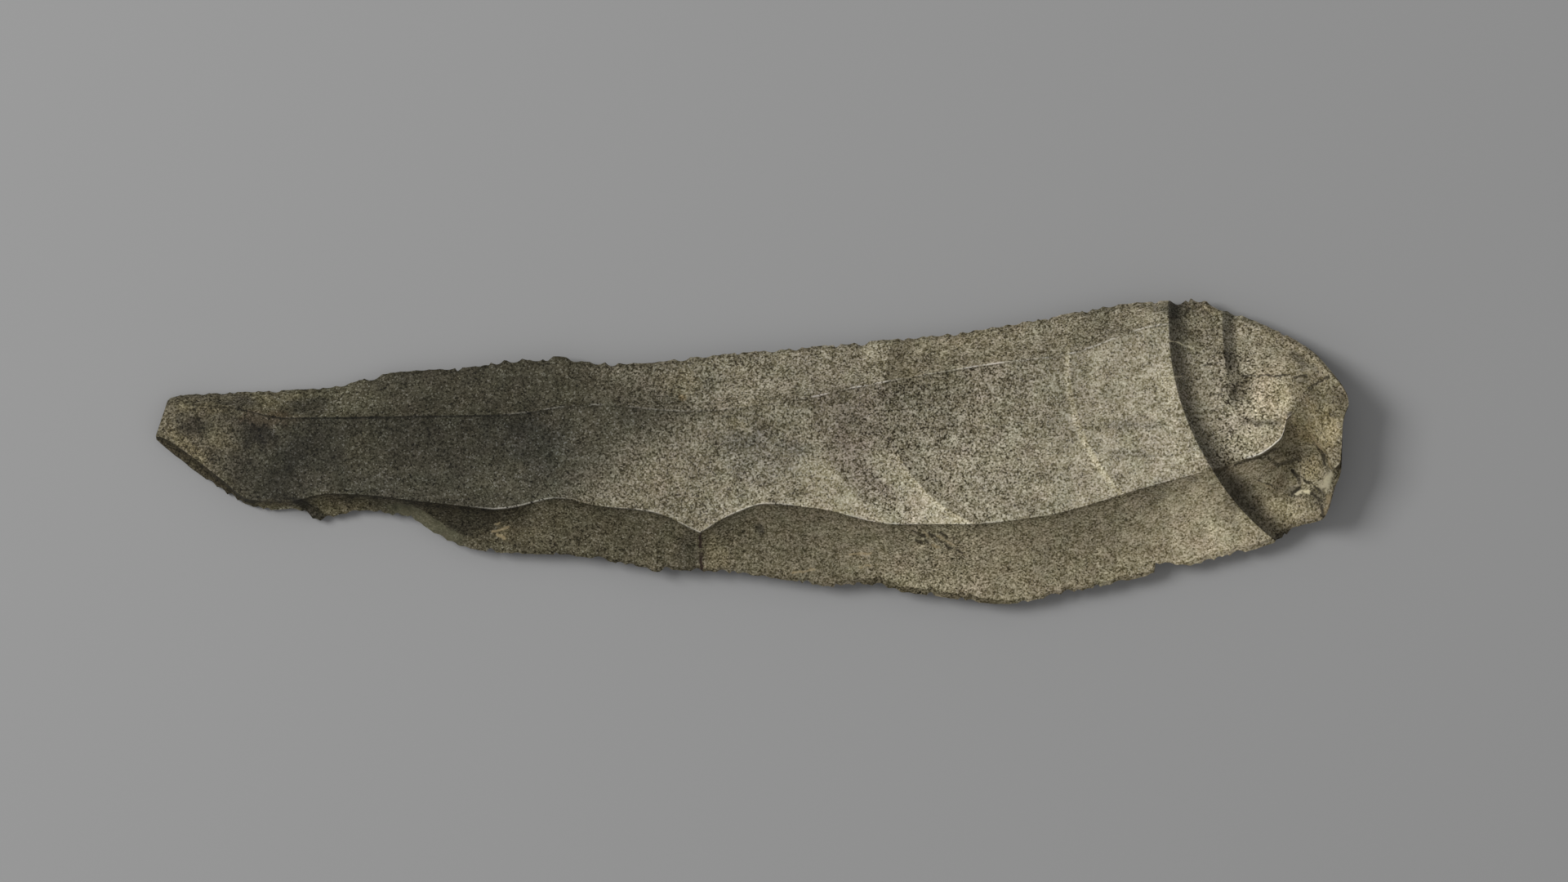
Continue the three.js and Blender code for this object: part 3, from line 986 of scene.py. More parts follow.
    def zones(self, at: Rings) -> dict[Zone, np.ndarray]:
        """All masks for all points.

        Args:
            at: The blade's points.

        Returns:
            One array per zone, in the shape of the points.
        """
        return {
            Zone.SHADE: self.shade(at),
            Zone.PATINA: self.patina(at),
            Zone.GRIME: self.grime(at),
            Zone.BLEACH: self.bleach(at),
            Zone.WARMTH: self.warmth(at),
            Zone.MOSS: self.moss.share(at.x) * (at.strip == Strip.LOWER_BEVEL.value),
            Zone.ARRIS: self.arris(at),
            Zone.EVEN: self.even(at),
        }


@dataclass(frozen=True)
class Spot:
    """A patch with a frayed edge that darkens, pales or tints the outer face: mostly stains, and some dark
    ones are painted shade.
    """

    at: Point
    half: tuple[float, float]
    tint: Tone
    strength: float
    turn: float = 0.0
    edge: ClassVar[Point] = (0.5, 1.3)

    def mask(self, x: np.ndarray, y: np.ndarray, fray: np.ndarray) -> np.ndarray:
        """Share of the spot at a point.

        Args:
            x: Places along the blade.
            y: Places across it.
            fray: Numbers about 1 that make the spot's edge ragged.

        Returns:
            Shares from 0 to 1, in x's shape.
        """
        sine, cosine = math.sin(math.radians(self.turn)), math.cos(math.radians(self.turn))
        dx, dy = x - self.at[0], y - self.at[1]
        along = (dx * cosine + dy * sine) / self.half[0]
        across = (dy * cosine - dx * sine) / self.half[1]
        return 1.0 - smoothstep(np.hypot(along, across) * fray, *self.edge)


def spots(tint: Tone, *rows: tuple[float, ...]) -> tuple[Spot, ...]:
    """Spots that share a tint.

    Args:
        tint: What they multiply the stone's colour by.
        rows: Place along and across the blade, half length, half width, strength and, where it
            isn't 0, turn in degrees.

    Returns:
        One spot for each row.
    """
    return tuple(Spot((x, y), (long, wide), tint, *rest) for x, y, long, wide, *rest in rows)


@dataclass(frozen=True)
class Hairline:
    """A thin crack, scratch, chip or line of painted shade along a broken line of the outer face."""

    path: tuple[Point, ...]
    width: float
    tone: Tone
    strength: float


def alike(
    width: float, tint: Tone, strength: float, *paths: tuple[Point, Point]
) -> tuple[Hairline, ...]:
    """Short hairlines that share a width, a tone and a strength.

    Args:
        width: Half width of the lines.
        tint: Their tone.
        strength: How much they cover.
        paths: Both ends of each line.

    Returns:
        One hairline for each path.
    """
    return tuple(Hairline(path, width, tint, strength) for path in paths)


@dataclass(frozen=True)
class Band:
    """A band beside a ripple's arc that is darker, paler or tinted.

    Its span is given as distances inside the arc, and its reach from the lowest to the highest
    place across the blade.
    """

    ripple: Ripple
    span: tuple[float, float]
    soft: tuple[float, float]
    reach: tuple[float, float]
    fade: tuple[float, float]
    tint: Tone
    strength: float


BLACK = tone(44, 38, 27)
RUST = tone(44, 33, 26)
CREAM = tone(214, 203, 172)
TAN = tone(166, 150, 116)
# DARKER, DIMMER and BRIGHTER also paint shade and highlights in the bands and spots below.
DARKER = (0.28, 0.28, 0.29, 1.0)
REDDER = (0.85, 0.62, 0.5, 1.0)
SLATIER = (0.6, 0.61, 0.66, 1.0)
SLATY = (0.84, 0.88, 0.97, 1.0)
PALER = (1.7, 1.66, 1.55, 1.0)
TANNER = (1.45, 1.41, 1.24, 1.0)
ORANGE = (1.5, 1.2, 0.8, 1.0)
DIMMER = (0.62, 0.61, 0.58, 1.0)
BROWNER = (0.72, 0.69, 0.6, 1.0)
PURPLER = (0.74, 0.705, 0.74, 1.0)
BRIGHTER = (1.5, 1.5, 1.47, 1.0)

# Dark bands paint the shade where the face drops inside the two steps; the pale bands paint the lit side of
# the step and of the faint ripple.
BUTT_BANDS = (
    Band(OuterFace.step, (0.0, 0.9), (0.05, 2.6), (-14.0, 30.0), (2.0, 1.0), DARKER, 0.85),
    Band(OuterFace.step, (0.0, 1.0), (0.05, 5.0), (-14.0, 30.0), (2.0, 1.0), DIMMER, 0.5),
    Band(OuterFace.step, (0.0, 1.5), (0.05, 2.5), (-14.0, -3.0), (2.0, 0.5), DARKER, 0.5),
    Band(OuterFace.step, (-2.0, -0.05), (3.0, 0.05), (-2.0, 12.0), (2.0, 3.0), BRIGHTER, 0.25),
    Band(OuterFace.second_step, (0.2, 1.2), (0.3, 1.4), (13.0, 30.0), (3.0, 1.0), DARKER, 0.85),
    Band(OuterFace.second_step, (0.2, 1.5), (0.4, 1.8), (8.0, 13.0), (2.0, 2.0), DIMMER, 0.7),
    Band(OuterFace.faint_ripple, (-0.3, 0.0), (0.7, 0.35), (-5.0, 14.0), (2.0, 3.0), BRIGHTER, 0.85),
)

# Pale bands paint the lit side of the ripples and dim bands the shade where the face drops inside them;
# purple and brown bands are tints of the stone.
MIDDLE_BANDS = (
    Band(OuterFace.wide_ripple, (-1.6, -0.05), (2.6, 0.05), (-10.5, -0.4), (0.1, 1.2), BRIGHTER, 0.38),
    Band(OuterFace.wide_ripple, (-0.3, -0.03), (1.0, 0.03), (-10.5, -0.4), (0.1, 1.2), BRIGHTER, 0.35),
    Band(OuterFace.wide_ripple, (-5.5, -0.05), (3.0, 0.05), (1.0, 9.0), (2.0, 1.0), PURPLER, 0.6),
    Band(OuterFace.wide_ripple, (-6.5, -4.2), (1.5, 1.0), (-5.0, 0.5), (2.0, 1.5), PURPLER, 0.6),
    Band(OuterFace.wide_ripple, (0.0, 2.0), (0.05, 5.0), (-9.0, 9.0), (3.0, 1.0), DIMMER, 0.3),
    Band(OuterFace.wide_ripple, (-2.5, -0.03), (3.5, 0.03), (9.3, 30.0), (0.3, 1.0), BRIGHTER, 0.3),
    Band(OuterFace.wide_ripple, (0.0, 6.0), (0.05, 14.0), (9.3, 30.0), (0.3, 1.0), BROWNER, 0.35),
    Band(OuterFace.wide_ripple, (0.0, 1.0), (0.03, 3.0), (9.3, 30.0), (0.3, 1.0), DIMMER, 0.6),
    Band(OuterFace.tip_ripple, (-3.5, -1.0), (2.5, 1.0), (-9.0, -2.0), (2.0, 3.0), BRIGHTER, 0.3),
    Band(OuterFace.tip_ripple, (0.0, 2.5), (1.0, 2.0), (-6.0, 9.0), (2.0, 3.0), PURPLER, 0.4),
)

# Stains and tints; some dark spots at the butt paint shade in its pits, hollows and under its hinge steps.
SPOTS = (
    *spots(
        DARKER,
        (-79.4, 3.6, 1.9, 1.6, 0.8, -20.0), (-76.6, -0.8, 1.4, 1.0, 0.5, -30.0),
        (-71.0, 2.4, 2.4, 1.8, 0.8), (-73.0, -3.0, 3.0, 2.4, 0.45, -35.0), (-66.5, 0.5, 3.4, 2.6, 0.4),
        (-73.4, 6.9, 3.6, 0.8, 0.7), (-63.8, 6.4, 4.2, 1.4, 0.7), (-63.0, -8.6, 2.8, 1.0, 1.0, -36.0),
        (-9.0, -14.6, 1.8, 3.6, 0.55), (-39.6, -9.7, 4.5, 1.7, 0.4), (1.5, -11.1, 0.8, 1.1, 0.8, 30.0),
        (57.4, -6.3, 2.2, 1.0, 0.35), (52.3, -8.5, 1.2, 0.9, 0.3), (62.8, -3.8, 1.4, 0.6, 0.45),
        (61.0, 20.3, 2.0, 1.1, 0.6), (68.9, 8.4, 0.8, 1.7, 0.5, -8.0), (73.0, 4.1, 2.8, 0.5, 0.7, 5.0),
        (77.2, -5.8, 1.0, 0.8, 0.7), (77.9, 13.4, 1.6, 1.0, 0.55, -35.0), (77.9, 10.2, 1.6, 0.6, 0.5),
        (76.8, -0.2, 3.2, 1.0, 0.4), (82.7, 5.2, 0.85, 0.6, 0.75, -30.0),
        (80.6, -6.7, 1.6, 1.0, 0.5, -40.0), (70.1, -6.5, 2.2, 3.6, 0.4, 38.0)),
    *spots(
        SLATIER,
        (-62.8, -0.4, 4.4, 2.8, 0.4), (-1.2, 1.5, 3.6, 1.2, 0.35, 10.0),
        (7.0, 0.3, 2.4, 1.2, 0.5, -10.0), (54.7, 3.7, 4.2, 0.6, 0.6), (54.7, -0.5, 4.6, 0.6, 0.6),
        (78.8, 12.0, 1.1, 0.8, 0.8)),
    *spots(
        TANNER,
        (-55.4, 0.2, 3.6, 2.6, 0.35), (-75.5, 1.6, 2.4, 1.6, 0.5, -20.0),
        (-68.0, 6.6, 3.2, 0.9, 0.6, -8.0), (-77.0, 5.9, 4.0, 0.8, 0.6, -4.0),
        (-80.5, 0.8, 3.2, 0.9, 0.7, -38.0), (-66.1, 7.9, 2.8, 0.7, 0.5), (-58.5, -8.3, 5.0, 1.4, 0.5),
        (-68.3, -7.6, 2.2, 0.5, 0.6), (-34.0, -11.8, 3.4, 1.2, 0.4, 6.0), (-16.9, -4.1, 8.0, 3.6, 0.15),
        (-11.0, 9.5, 3.4, 1.8, 0.45), (-5.5, -14.4, 1.6, 3.4, 0.5), (-2.3, 3.8, 1.2, 0.7, 0.3),
        (65.4, 20.2, 1.7, 0.5, 0.5, -25.0), (81.6, 3.2, 2.7, 3.4, 0.6),
        (79.9, -2.6, 1.6, 1.4, 0.55, -30.0), (75.7, -9.0, 3.2, 2.0, 0.3)),
    *spots(
        REDDER,
        (-69.3, 4.4, 3.4, 1.2, 0.5)),
    *spots(
        PALER,
        (-35.4, -11.4, 0.8, 1.0, 0.4), (74.2, 8.3, 2.9, 2.4, 0.3), (81.3, 2.8, 2.4, 3.0, 0.2),
        (82.6, 5.3, 0.3, 0.2, 0.8, -30.0)),
    *spots(
        SLATY,
        (-0.5, -0.6, 5.5, 2.8, 0.6), (-29.7, 0.6, 5.5, 4.5, 0.7)),
    *spots(
        ORANGE,
        (-9.8, 7.7, 0.7, 0.5, 0.6)),
    *spots(
        DIMMER,
        (84.2, 6.6, 0.9, 2.2, 0.7), (70.1, 9.6, 1.3, 1.6, 0.7), (78.0, 1.0, 3.4, 2.6, 0.35),
        (83.3, 7.3, 1.7, 1.5, 0.6), (76.2, -6.0, 2.2, 1.8, 0.45), (72.8, 3.2, 2.2, 1.7, 0.3)),
    *spots(
        BROWNER,
        (77.8, 3.2, 2.2, 2.6, 0.75)),
)

BUTT_LINES = (
    Hairline(((59.5, 15.7), (61.2, 15.3), (62.9, 14.6)), 0.14, CREAM, 0.6),
    Hairline(((59.7, 18.8), (61.7, 19.5), (62.6, 20.3)), 0.28, BLACK, 0.7),
    Hairline(((64.5, 12.3), (66.4, 12.6)), 0.2, BLACK, 0.75),
    Hairline(((59.4, 10.4), (61.2, 10.8)), 0.15, CREAM, 0.4),
    Hairline(((66.6, 16.0), (67.0, 15.9)), 0.2, CREAM, 0.95),
    Hairline(((65.2, 7.9), (67.0, 8.3)), 0.2, BLACK, 0.6),
    Hairline(((69.9, 10.7), (74.5, 10.8), (79.2, 10.7)), 0.24, BLACK, 0.8),
    Hairline(((79.4, 8.9), (80.6, 9.8), (82.2, 10.5)), 0.28, BLACK, 0.8),
    Hairline(((65.9, -2.9), (69.9, -1.6), (72.8, -0.8), (74.5, 0.4)), 0.35, BLACK, 0.8),
    Hairline(((75.8, 5.1), (77.0, 5.5)), 0.35, BLACK, 0.85),
    Hairline(((72.2, -4.1), (74.5, -5.1)), 0.22, BLACK, 0.7),
    Hairline(((72.3, -4.5), (74.6, -5.4)), 0.2, TAN, 0.45),
    # The next three dark lines paint the shade under the butt's hinge steps.
    Hairline(((73.7, -1.1), (75.1, -2.0), (76.4, -1.6), (78.0, -1.1)), 0.5, BLACK, 0.7),
    Hairline(((77.3, -2.9), (78.2, -4.3), (78.0, -5.5), (77.0, -6.3)), 0.34, BLACK, 0.85),
    Hairline(((77.2, -2.7), (79.2, -4.3), (80.6, -5.2), (81.5, -6.0)), 0.28, BLACK, 0.85),
    Hairline(((79.9, -6.0), (81.2, -7.3), (81.5, -9.3)), 0.4, BLACK, 0.85),
    # Painted shade in the hollow below the butt's outer rim.
    Hairline(((80.0, 1.1), (81.5, -0.4), (81.7, -2.0), (82.3, -3.3)), 0.3, BLACK, 0.8),
    Hairline(((79.2, 5.4), (79.6, 2.6), (80.7, 0.9), (81.9, -0.4), (82.6, -2.5)), 0.22, TAN, 0.6),
    Hairline(((82.3, -3.4), (81.7, -5.5)), 0.7, CREAM, 0.8),
    Hairline(((81.0, -4.6), (81.5, -5.5)), 0.4, CREAM, 0.7),
    Hairline(((77.9, -6.2), (78.5, -5.6), (79.5, -5.9)), 0.32, CREAM, 0.95),
    Hairline(((82.3, -6.3), (82.0, -8.8)), 0.55, TAN, 0.7),
)

BELLY_LINES = (
    Hairline(((-7.3, -11.7), (-7.2, -14.5), (-7.0, -17.6)), 0.38, RUST, 1.0),
    Hairline(((-36.6, -10.5), (-35.9, -10.2)), 0.3, TAN, 0.5),
    Hairline(((-36.9, -11.6), (-34.7, -10.8)), 0.3, TAN, 0.45),
    Hairline(((-36.1, -11.9), (-35.2, -12.5)), 0.3, TAN, 0.5),
    *alike(
        0.28, BLACK, 0.85,
        ((23.1, -11.4), (23.8, -11.7)), ((24.0, -11.9), (24.8, -12.2)), ((25.3, -11.6), (26.2, -12.1)),
        ((26.2, -12.5), (27.1, -13.0)), ((27.0, -11.6), (27.9, -12.2)), ((27.6, -13.3), (28.5, -13.8)),
        ((28.9, -12.5), (29.8, -13.1)), ((24.8, -12.8), (25.6, -13.3)), ((29.1, -13.9), (30.0, -14.5)),
        ((23.5, -12.6), (24.3, -13.1))),
    *alike(
        0.22, TAN, 0.55,
        ((24.5, -11.5), (25.3, -12.1)), ((26.5, -12.1), (27.5, -12.5)), ((27.9, -12.8), (28.9, -13.3)),
        ((25.7, -13.3), (26.8, -13.8)), ((5.8, -17.4), (9.1, -16.8)), ((14.0, -14.8), (17.2, -14.5)),
        ((15.4, -16.5), (17.8, -16.2))),
)


@dataclass(frozen=True)
class StainsAndShade:
    """All the spots of the outer face together, stains and tints with some painted shade in the butt's
    hollows.
    """

    spots: tuple[Spot, ...] = SPOTS
    bend: float = 0.4
    bend_pitch: float = 1.2
    bend_seeds: tuple[int, int] = (41, 42)
    frays: tuple[tuple[float, float, int], ...] = ((0.35, 2.2, 43), (0.3, 0.9, 44))

    def tint(self, at: Rings) -> np.ndarray:
        """Tint that the spots give each point.

        Args:
            at: The blade's points.

        Returns:
            Red, green, blue and alpha by point, all 1 where there is no spot.
        """
        x, y = (
            place + self.bend * lattice_noise(at.x, at.y, self.bend_pitch, seed)
            for place, seed in zip((at.x, at.y), self.bend_seeds))
        frays = (share * lattice_noise(at.x, at.y, pitch, seed) for share, pitch, seed in self.frays)
        fray = 1.0 + sum(frays)
        total = np.ones((*x.shape, 4))
        for spot in self.spots:
            share = spot.strength * spot.mask(x, y, fray)
            total *= 1.0 + share[..., None] * (np.array(spot.tint) - 1.0)
        total[:, at.strip == Strip.INNER.value] = 1.0
        return total


# Shader building blocks

class Board:
    """Places nodes in a node tree and wires them."""

    def __init__(self, tree: bpy.types.NodeTree) -> None:
        """Keeps the tree to build in."""
        self.tree = tree

    def add(self, kind: str, **settings: object) -> bpy.types.Node:
        """A new node.

        Args:
            kind: Node type.
            settings: Properties to set on it.

        Returns:
            The node.
        """
        node = self.tree.nodes.new(kind)
        for name, value in settings.items():
            setattr(node, name, value)
        return node

    def feed(self, socket: bpy.types.NodeSocket, value: object) -> None:
        """Wires an output into a socket, or sets the socket to a plain value."""
        if isinstance(value, bpy.types.NodeSocket):
            self.tree.links.new(value, socket)
        else:
            socket.default_value = value

    def math(self, operation: str, *values: object) -> bpy.types.NodeSocket:
        """A sum, product or other number.

        Args:
            operation: Name of the Math node's operation.
            values: Outputs or plain numbers to work on.

        Returns:
            The result's socket.
        """
        node = self.add("ShaderNodeMath", operation=operation)
        for socket, value in zip(node.inputs, values):
            self.feed(socket, value)
        return node.outputs[0]

    def vector(self, operation: str, *values: object) -> bpy.types.Node:
        """A vector sum or measure.

        Args:
            operation: Name of the Vector Math node's operation.
            values: Outputs or plain vectors to work on.

        Returns:
            The node, since its results differ by operation.
        """
        node = self.add("ShaderNodeVectorMath", operation=operation)
        for socket, value in zip(node.inputs, values):
            self.feed(socket, value)
        return node

    def mix(self, share: object, a: object, b: object, blend: str = "MIX") -> bpy.types.NodeSocket:
        """A mix of two colours.

        Args:
            share: How much of b is used.
            a: First colour.
            b: Second colour.
            blend: How b is laid over a.

        Returns:
            The mixed colour's socket.
        """
        node = self.add("ShaderNodeMix", data_type="RGBA", blend_type=blend)
        for number, value in ((0, share), (6, a), (7, b)):
            self.feed(node.inputs[number], value)
        return node.outputs[2]

    def ease(self, value: object, low: object, high: object) -> bpy.types.NodeSocket:
        """Eased climb of a value from 0 at low to 1 at high.

        Args:
            value: Output to ease.
            low: Value that gives 0.
            high: Value that gives 1.

        Returns:
            The eased value's socket.
        """
        node = self.add("ShaderNodeMapRange", interpolation_type="SMOOTHSTEP", clamp=False)
        return self.climb(node, value, low, high)

    def ramp(self, value: object, low: object, high: object) -> bpy.types.NodeSocket:
        """Straight climb of a value, as ease() in all else, held beyond low and high."""
        return self.climb(self.add("ShaderNodeMapRange"), value, low, high)

    def climb(self, node: bpy.types.Node, *values: object) -> bpy.types.NodeSocket:
        """Feeds a Map Range node with its value, low and high, and gives its result's socket."""
        for name, value in zip(("Value", "From Min", "From Max"), values):
            self.feed(node.inputs[name], value)
        return node.outputs["Result"]

    def noise(
        self, place: object, scale: object, detail: float = 2.0, rough: float = 0.5
    ) -> bpy.types.NodeOutputs:
        """Smooth noise about 0.5.

        Args:
            place: Coordinates.
            scale: Noise cells per unit of the coordinates.
            detail: How many finer layers are laid on it.
            rough: How strong each finer layer is.

        Returns:
            The noise's outputs: Fac, one number, and Color, three.
        """
        node = self.add("ShaderNodeTexNoise")
        for name, value in (("Vector", place), ("Scale", scale), ("Detail", detail), ("Roughness", rough)):
            self.feed(node.inputs[name], value)
        return node.outputs

    def cells(self, place: object, scale: object) -> list[bpy.types.NodeSocket]:
        """Random numbers that are even over each small grain.

        Args:
            place: Coordinates.
            scale: Grains per unit of the coordinates.

        Returns:
            Sockets of three numbers from 0 to 1.
        """
        node = self.add("ShaderNodeTexVoronoi")
        self.feed(node.inputs["Vector"], place)
        self.feed(node.inputs["Scale"], scale)
        parts = self.add("ShaderNodeSeparateColor")
        self.feed(parts.inputs[0], node.outputs["Color"])
        return list(parts.outputs)


class Effect:
    """A shader node group with named sockets, built once and placed in many materials."""

    name = "effect"
    inputs: tuple[tuple[str, str], ...] = ()
    outputs: tuple[tuple[str, str], ...] = ()

    def __init__(self) -> None:
        """Makes the group's sockets, then lets the effect wire itself."""
        self.tree = bpy.data.node_groups.new(self.name, "ShaderNodeTree")
        for direction, sockets in (("INPUT", self.inputs), ("OUTPUT", self.outputs)):
            for name, kind in sockets:
                self.tree.interface.new_socket(name, in_out=direction, socket_type=f"NodeSocket{kind}")
        board = Board(self.tree)
        source = board.add("NodeGroupInput").outputs
        result = board.add("NodeGroupOutput").inputs
        self.wire(board, source, result)

    def wire(self, board: Board, source: object, result: object) -> None:
        """Wires the group's inside, from source to result."""
        raise NotImplementedError

    def place(self, board: Board, **values: object) -> bpy.types.Node:
        """Puts the group into a material.

        Args:
            board: The material's board.
            values: Values or outputs for the inputs, with underscores for spaces.

        Returns:
            The group node.
        """
        node = board.add("ShaderNodeGroup", node_tree=self.tree)
        for name, value in values.items():
            board.feed(node.inputs[name.replace("_", " ")], value)
        return node


class StoneGrain(Effect):
    """Grain of the stone: its speckle, sparse dark and light dots, mottling and a drift of hue.

    Scales are shares of the finest grains' scale.
    """

    name = "stone_grain"
    inputs = (("Place", "Vector"), ("Grains per mm", "Float"), ("Clusters", "Float"), ("Shift", "Float"))
    outputs = (
        ("Grain", "Float"), ("Salt", "Float"), ("Pepper", "Float"), ("Mottle", "Float"), ("Broad", "Float"),
        ("Tint", "Color"))
    mottle_scale = 0.1
    large_scale = 0.7
    cloud_scale = 0.8
    dot_scale = 1.15
    broad_scale = 0.045
    hue_scale = 0.07
    cloud_rough = 0.6
    small_share = 0.66
    large_share = 0.35
    cloud_share = 1.2
    speckle_climb = (0.06, 1.06)
    salt_climb = (0.87, 0.99)
    pepper_climb = (0.12, 0.04)

    def wire(self, board: Board, source: object, result: object) -> None:
        """Wires the group's inside, from source to result."""
        place, fine = source["Place"], source["Grains per mm"]
        mottle = board.noise(place, board.math("MULTIPLY", fine, self.mottle_scale))["Fac"]
        board.feed(result["Mottle"], mottle)
        bias = board.math("MULTIPLY", board.math("SUBTRACT", mottle, 0.5), source["Clusters"])
        bias = board.math("ADD", bias, source["Shift"])
        small = board.cells(place, fine)
        large = board.cells(place, board.math("MULTIPLY", fine, self.large_scale))
        scale = board.math("MULTIPLY", fine, self.cloud_scale)
        cloud = board.noise(place, scale, rough=self.cloud_rough)["Fac"]
        speckle = board.math("MULTIPLY_ADD", large[0], self.large_share, bias)
        speckle = board.math("MULTIPLY_ADD", small[0], self.small_share, speckle)
        swing = board.math("SUBTRACT", cloud, 0.5)
        speckle = board.math("MULTIPLY_ADD", swing, self.cloud_share, speckle)
        board.feed(result["Grain"], board.ramp(speckle, *self.speckle_climb))
        dots = board.cells(place, board.math("MULTIPLY", fine, self.dot_scale))
        board.feed(result["Salt"], board.ease(board.math("ADD", dots[0], bias), *self.salt_climb))
        board.feed(result["Pepper"], board.ease(board.math("ADD", dots[1], bias), *self.pepper_climb))
        broad = board.noise(place, board.math("MULTIPLY", fine, self.broad_scale))["Fac"]
        board.feed(result["Broad"], broad)
        hue = board.noise(place, board.math("MULTIPLY", fine, self.hue_scale))["Color"]
        board.feed(result["Tint"], hue)


class CrackLine(Effect):
    """Mask of one thin line between two points of the face, seen from above."""

    name = "crack_line"
    inputs = (("Place", "Vector"), ("Start", "Vector"), ("End", "Vector"), ("Width", "Float"))
    outputs = (("Mask", "Float"),)
    fade = (1.0, 0.25)

    def wire(self, board: Board, source: object, result: object) -> None:
        """Wires the group's inside, from source to result."""
        flat = board.vector("MULTIPLY", source["Place"], FLAT).outputs[0]
        off = board.vector("SUBTRACT", flat, source["Start"]).outputs[0]
        way = board.vector("SUBTRACT", source["End"], source["Start"]).outputs[0]
        reach = board.vector("DOT_PRODUCT", off, way).outputs["Value"]
        whole = board.vector("DOT_PRODUCT", way, way).outputs["Value"]
        along = board.math("MAXIMUM", board.math("DIVIDE", reach, whole), 0.0)
        along = board.math("MINIMUM", along, 1.0)
        scaled = board.vector("SCALE", way)
        board.feed(scaled.inputs["Scale"], along)
        gap = board.vector("DISTANCE", off, scaled.outputs[0]).outputs["Value"]
        share = board.math("DIVIDE", gap, source["Width"])
        board.feed(result["Mask"], board.ease(share, *self.fade))


class ArcBand(Effect):
    """Mask of a band beside an arc of the face, on the arc's tip side, between two levels."""

    name = "arc_band"
    inputs = (
        ("Place", "Vector"), ("Centre", "Vector"), ("Radius", "Float"), ("Start", "Float"), ("End", "Float"),
        ("Start soft", "Float"), ("End soft", "Float"), ("Low", "Float"), ("High", "Float"),
        ("Low fade", "Float"), ("High fade", "Float"))
    outputs = (("Mask", "Float"),)
    tip_side = (0.0, -2.0)

    def wire(self, board: Board, source: object, result: object) -> None:
        """Wires the group's inside, from source to result."""
        off = board.vector("SUBTRACT", source["Place"], source["Centre"]).outputs[0]
        flat = board.vector("MULTIPLY", off, FLAT).outputs[0]
        inside = board.math("SUBTRACT", source["Radius"], board.vector("LENGTH", flat).outputs["Value"])
        begin = board.math("SUBTRACT", source["Start"], source["Start soft"])
        stop = board.math("ADD", source["End"], source["End soft"])
        rising = board.ease(inside, begin, source["Start"])
        mask = board.math("MULTIPLY", rising, board.ease(inside, stop, source["End"]))
        parts = board.add("ShaderNodeSeparateXYZ")
        board.feed(parts.inputs[0], source["Place"])
        level = parts.outputs["Y"]
        bottom = board.math("SUBTRACT", source["Low"], source["Low fade"])
        top = board.math("ADD", source["High"], source["High fade"])
        mask = board.math("MULTIPLY", mask, board.ease(level, bottom, source["Low"]))
        mask = board.math("MULTIPLY", mask, board.ease(level, top, source["High"]))
        aside = board.add("ShaderNodeSeparateXYZ")
        board.feed(aside.inputs[0], off)
        facing = board.ease(aside.outputs["X"], *self.tip_side)
        board.feed(result["Mask"], board.math("MULTIPLY", mask, facing))


# The finish

@dataclass(frozen=True)
class FlintFinish:
    """Tones and grain of one face of the stone."""

    name: str
    light: Tone = tone(224, 215, 188)
    speck: Tone = tone(38, 30, 13)
    pepper: Tone = tone(38, 30, 16)
    dark: Tone = tone(24, 22, 15)
    dull: Tone = tone(104, 100, 82)
    salt: Tone = tone(137, 135, 125)
    brown: Tone = (1.02, 0.98, 0.76, 1.0)
    grey: Tone = (1.0, 1.0, 1.05, 1.0)
    warm: Tone = (1.0, 0.95, 0.83, 1.0)
    moss: Tone = tone(100, 98, 78)
    # Tint of the painted highlight.
    pale: Tone = (1.6, 1.6, 1.6, 1.0)
    # Worn ridge lines, which at the butt's lip also paint a highlight.
    worn: Tone = tone(246, 240, 226)
    # Tint of painted shade, partly dirt and stain.
    shade_and_dirt_tone: Tone = (0.3, 0.285, 0.24, 1.0)
    grains_per_mm: float = 4.7
    clusters: float = 0.3
    density: float = 0.2
    mean_grain: float = 0.42
    pepper_share: float = 0.75
    salt_share: float = 0.7
    moss_share: float = 0.55
    ragged_mottle: float = 0.9
    ragged_grain: float = -0.5
    ragged_climb: Point = (0.1, 0.9)
    ragged_share: float = 0.35
    smooth_share: float = 0.65
    patina_power: float = 1.35
    hue_climb: Point = (0.0, 0.75)
    worn_climb: Point = (0.0, 0.35)
    warp_scale: float = 0.9
    warp_reach: float = 0.9
    gap_climb: Point = (0.3, 0.5)
    mottle_swing: float = 0.5
    broad_swing: float = 0.4
    hairlines: tuple[Hairline, ...] = ()
    bands: tuple[Band, ...] = ()
    hue_swing: float = 0.1
    roughness: tuple[float, float] = (0.6, 0.82)
    specular: float = 0.18
    bump: float = 0.35
    bump_depth: float = 0.06


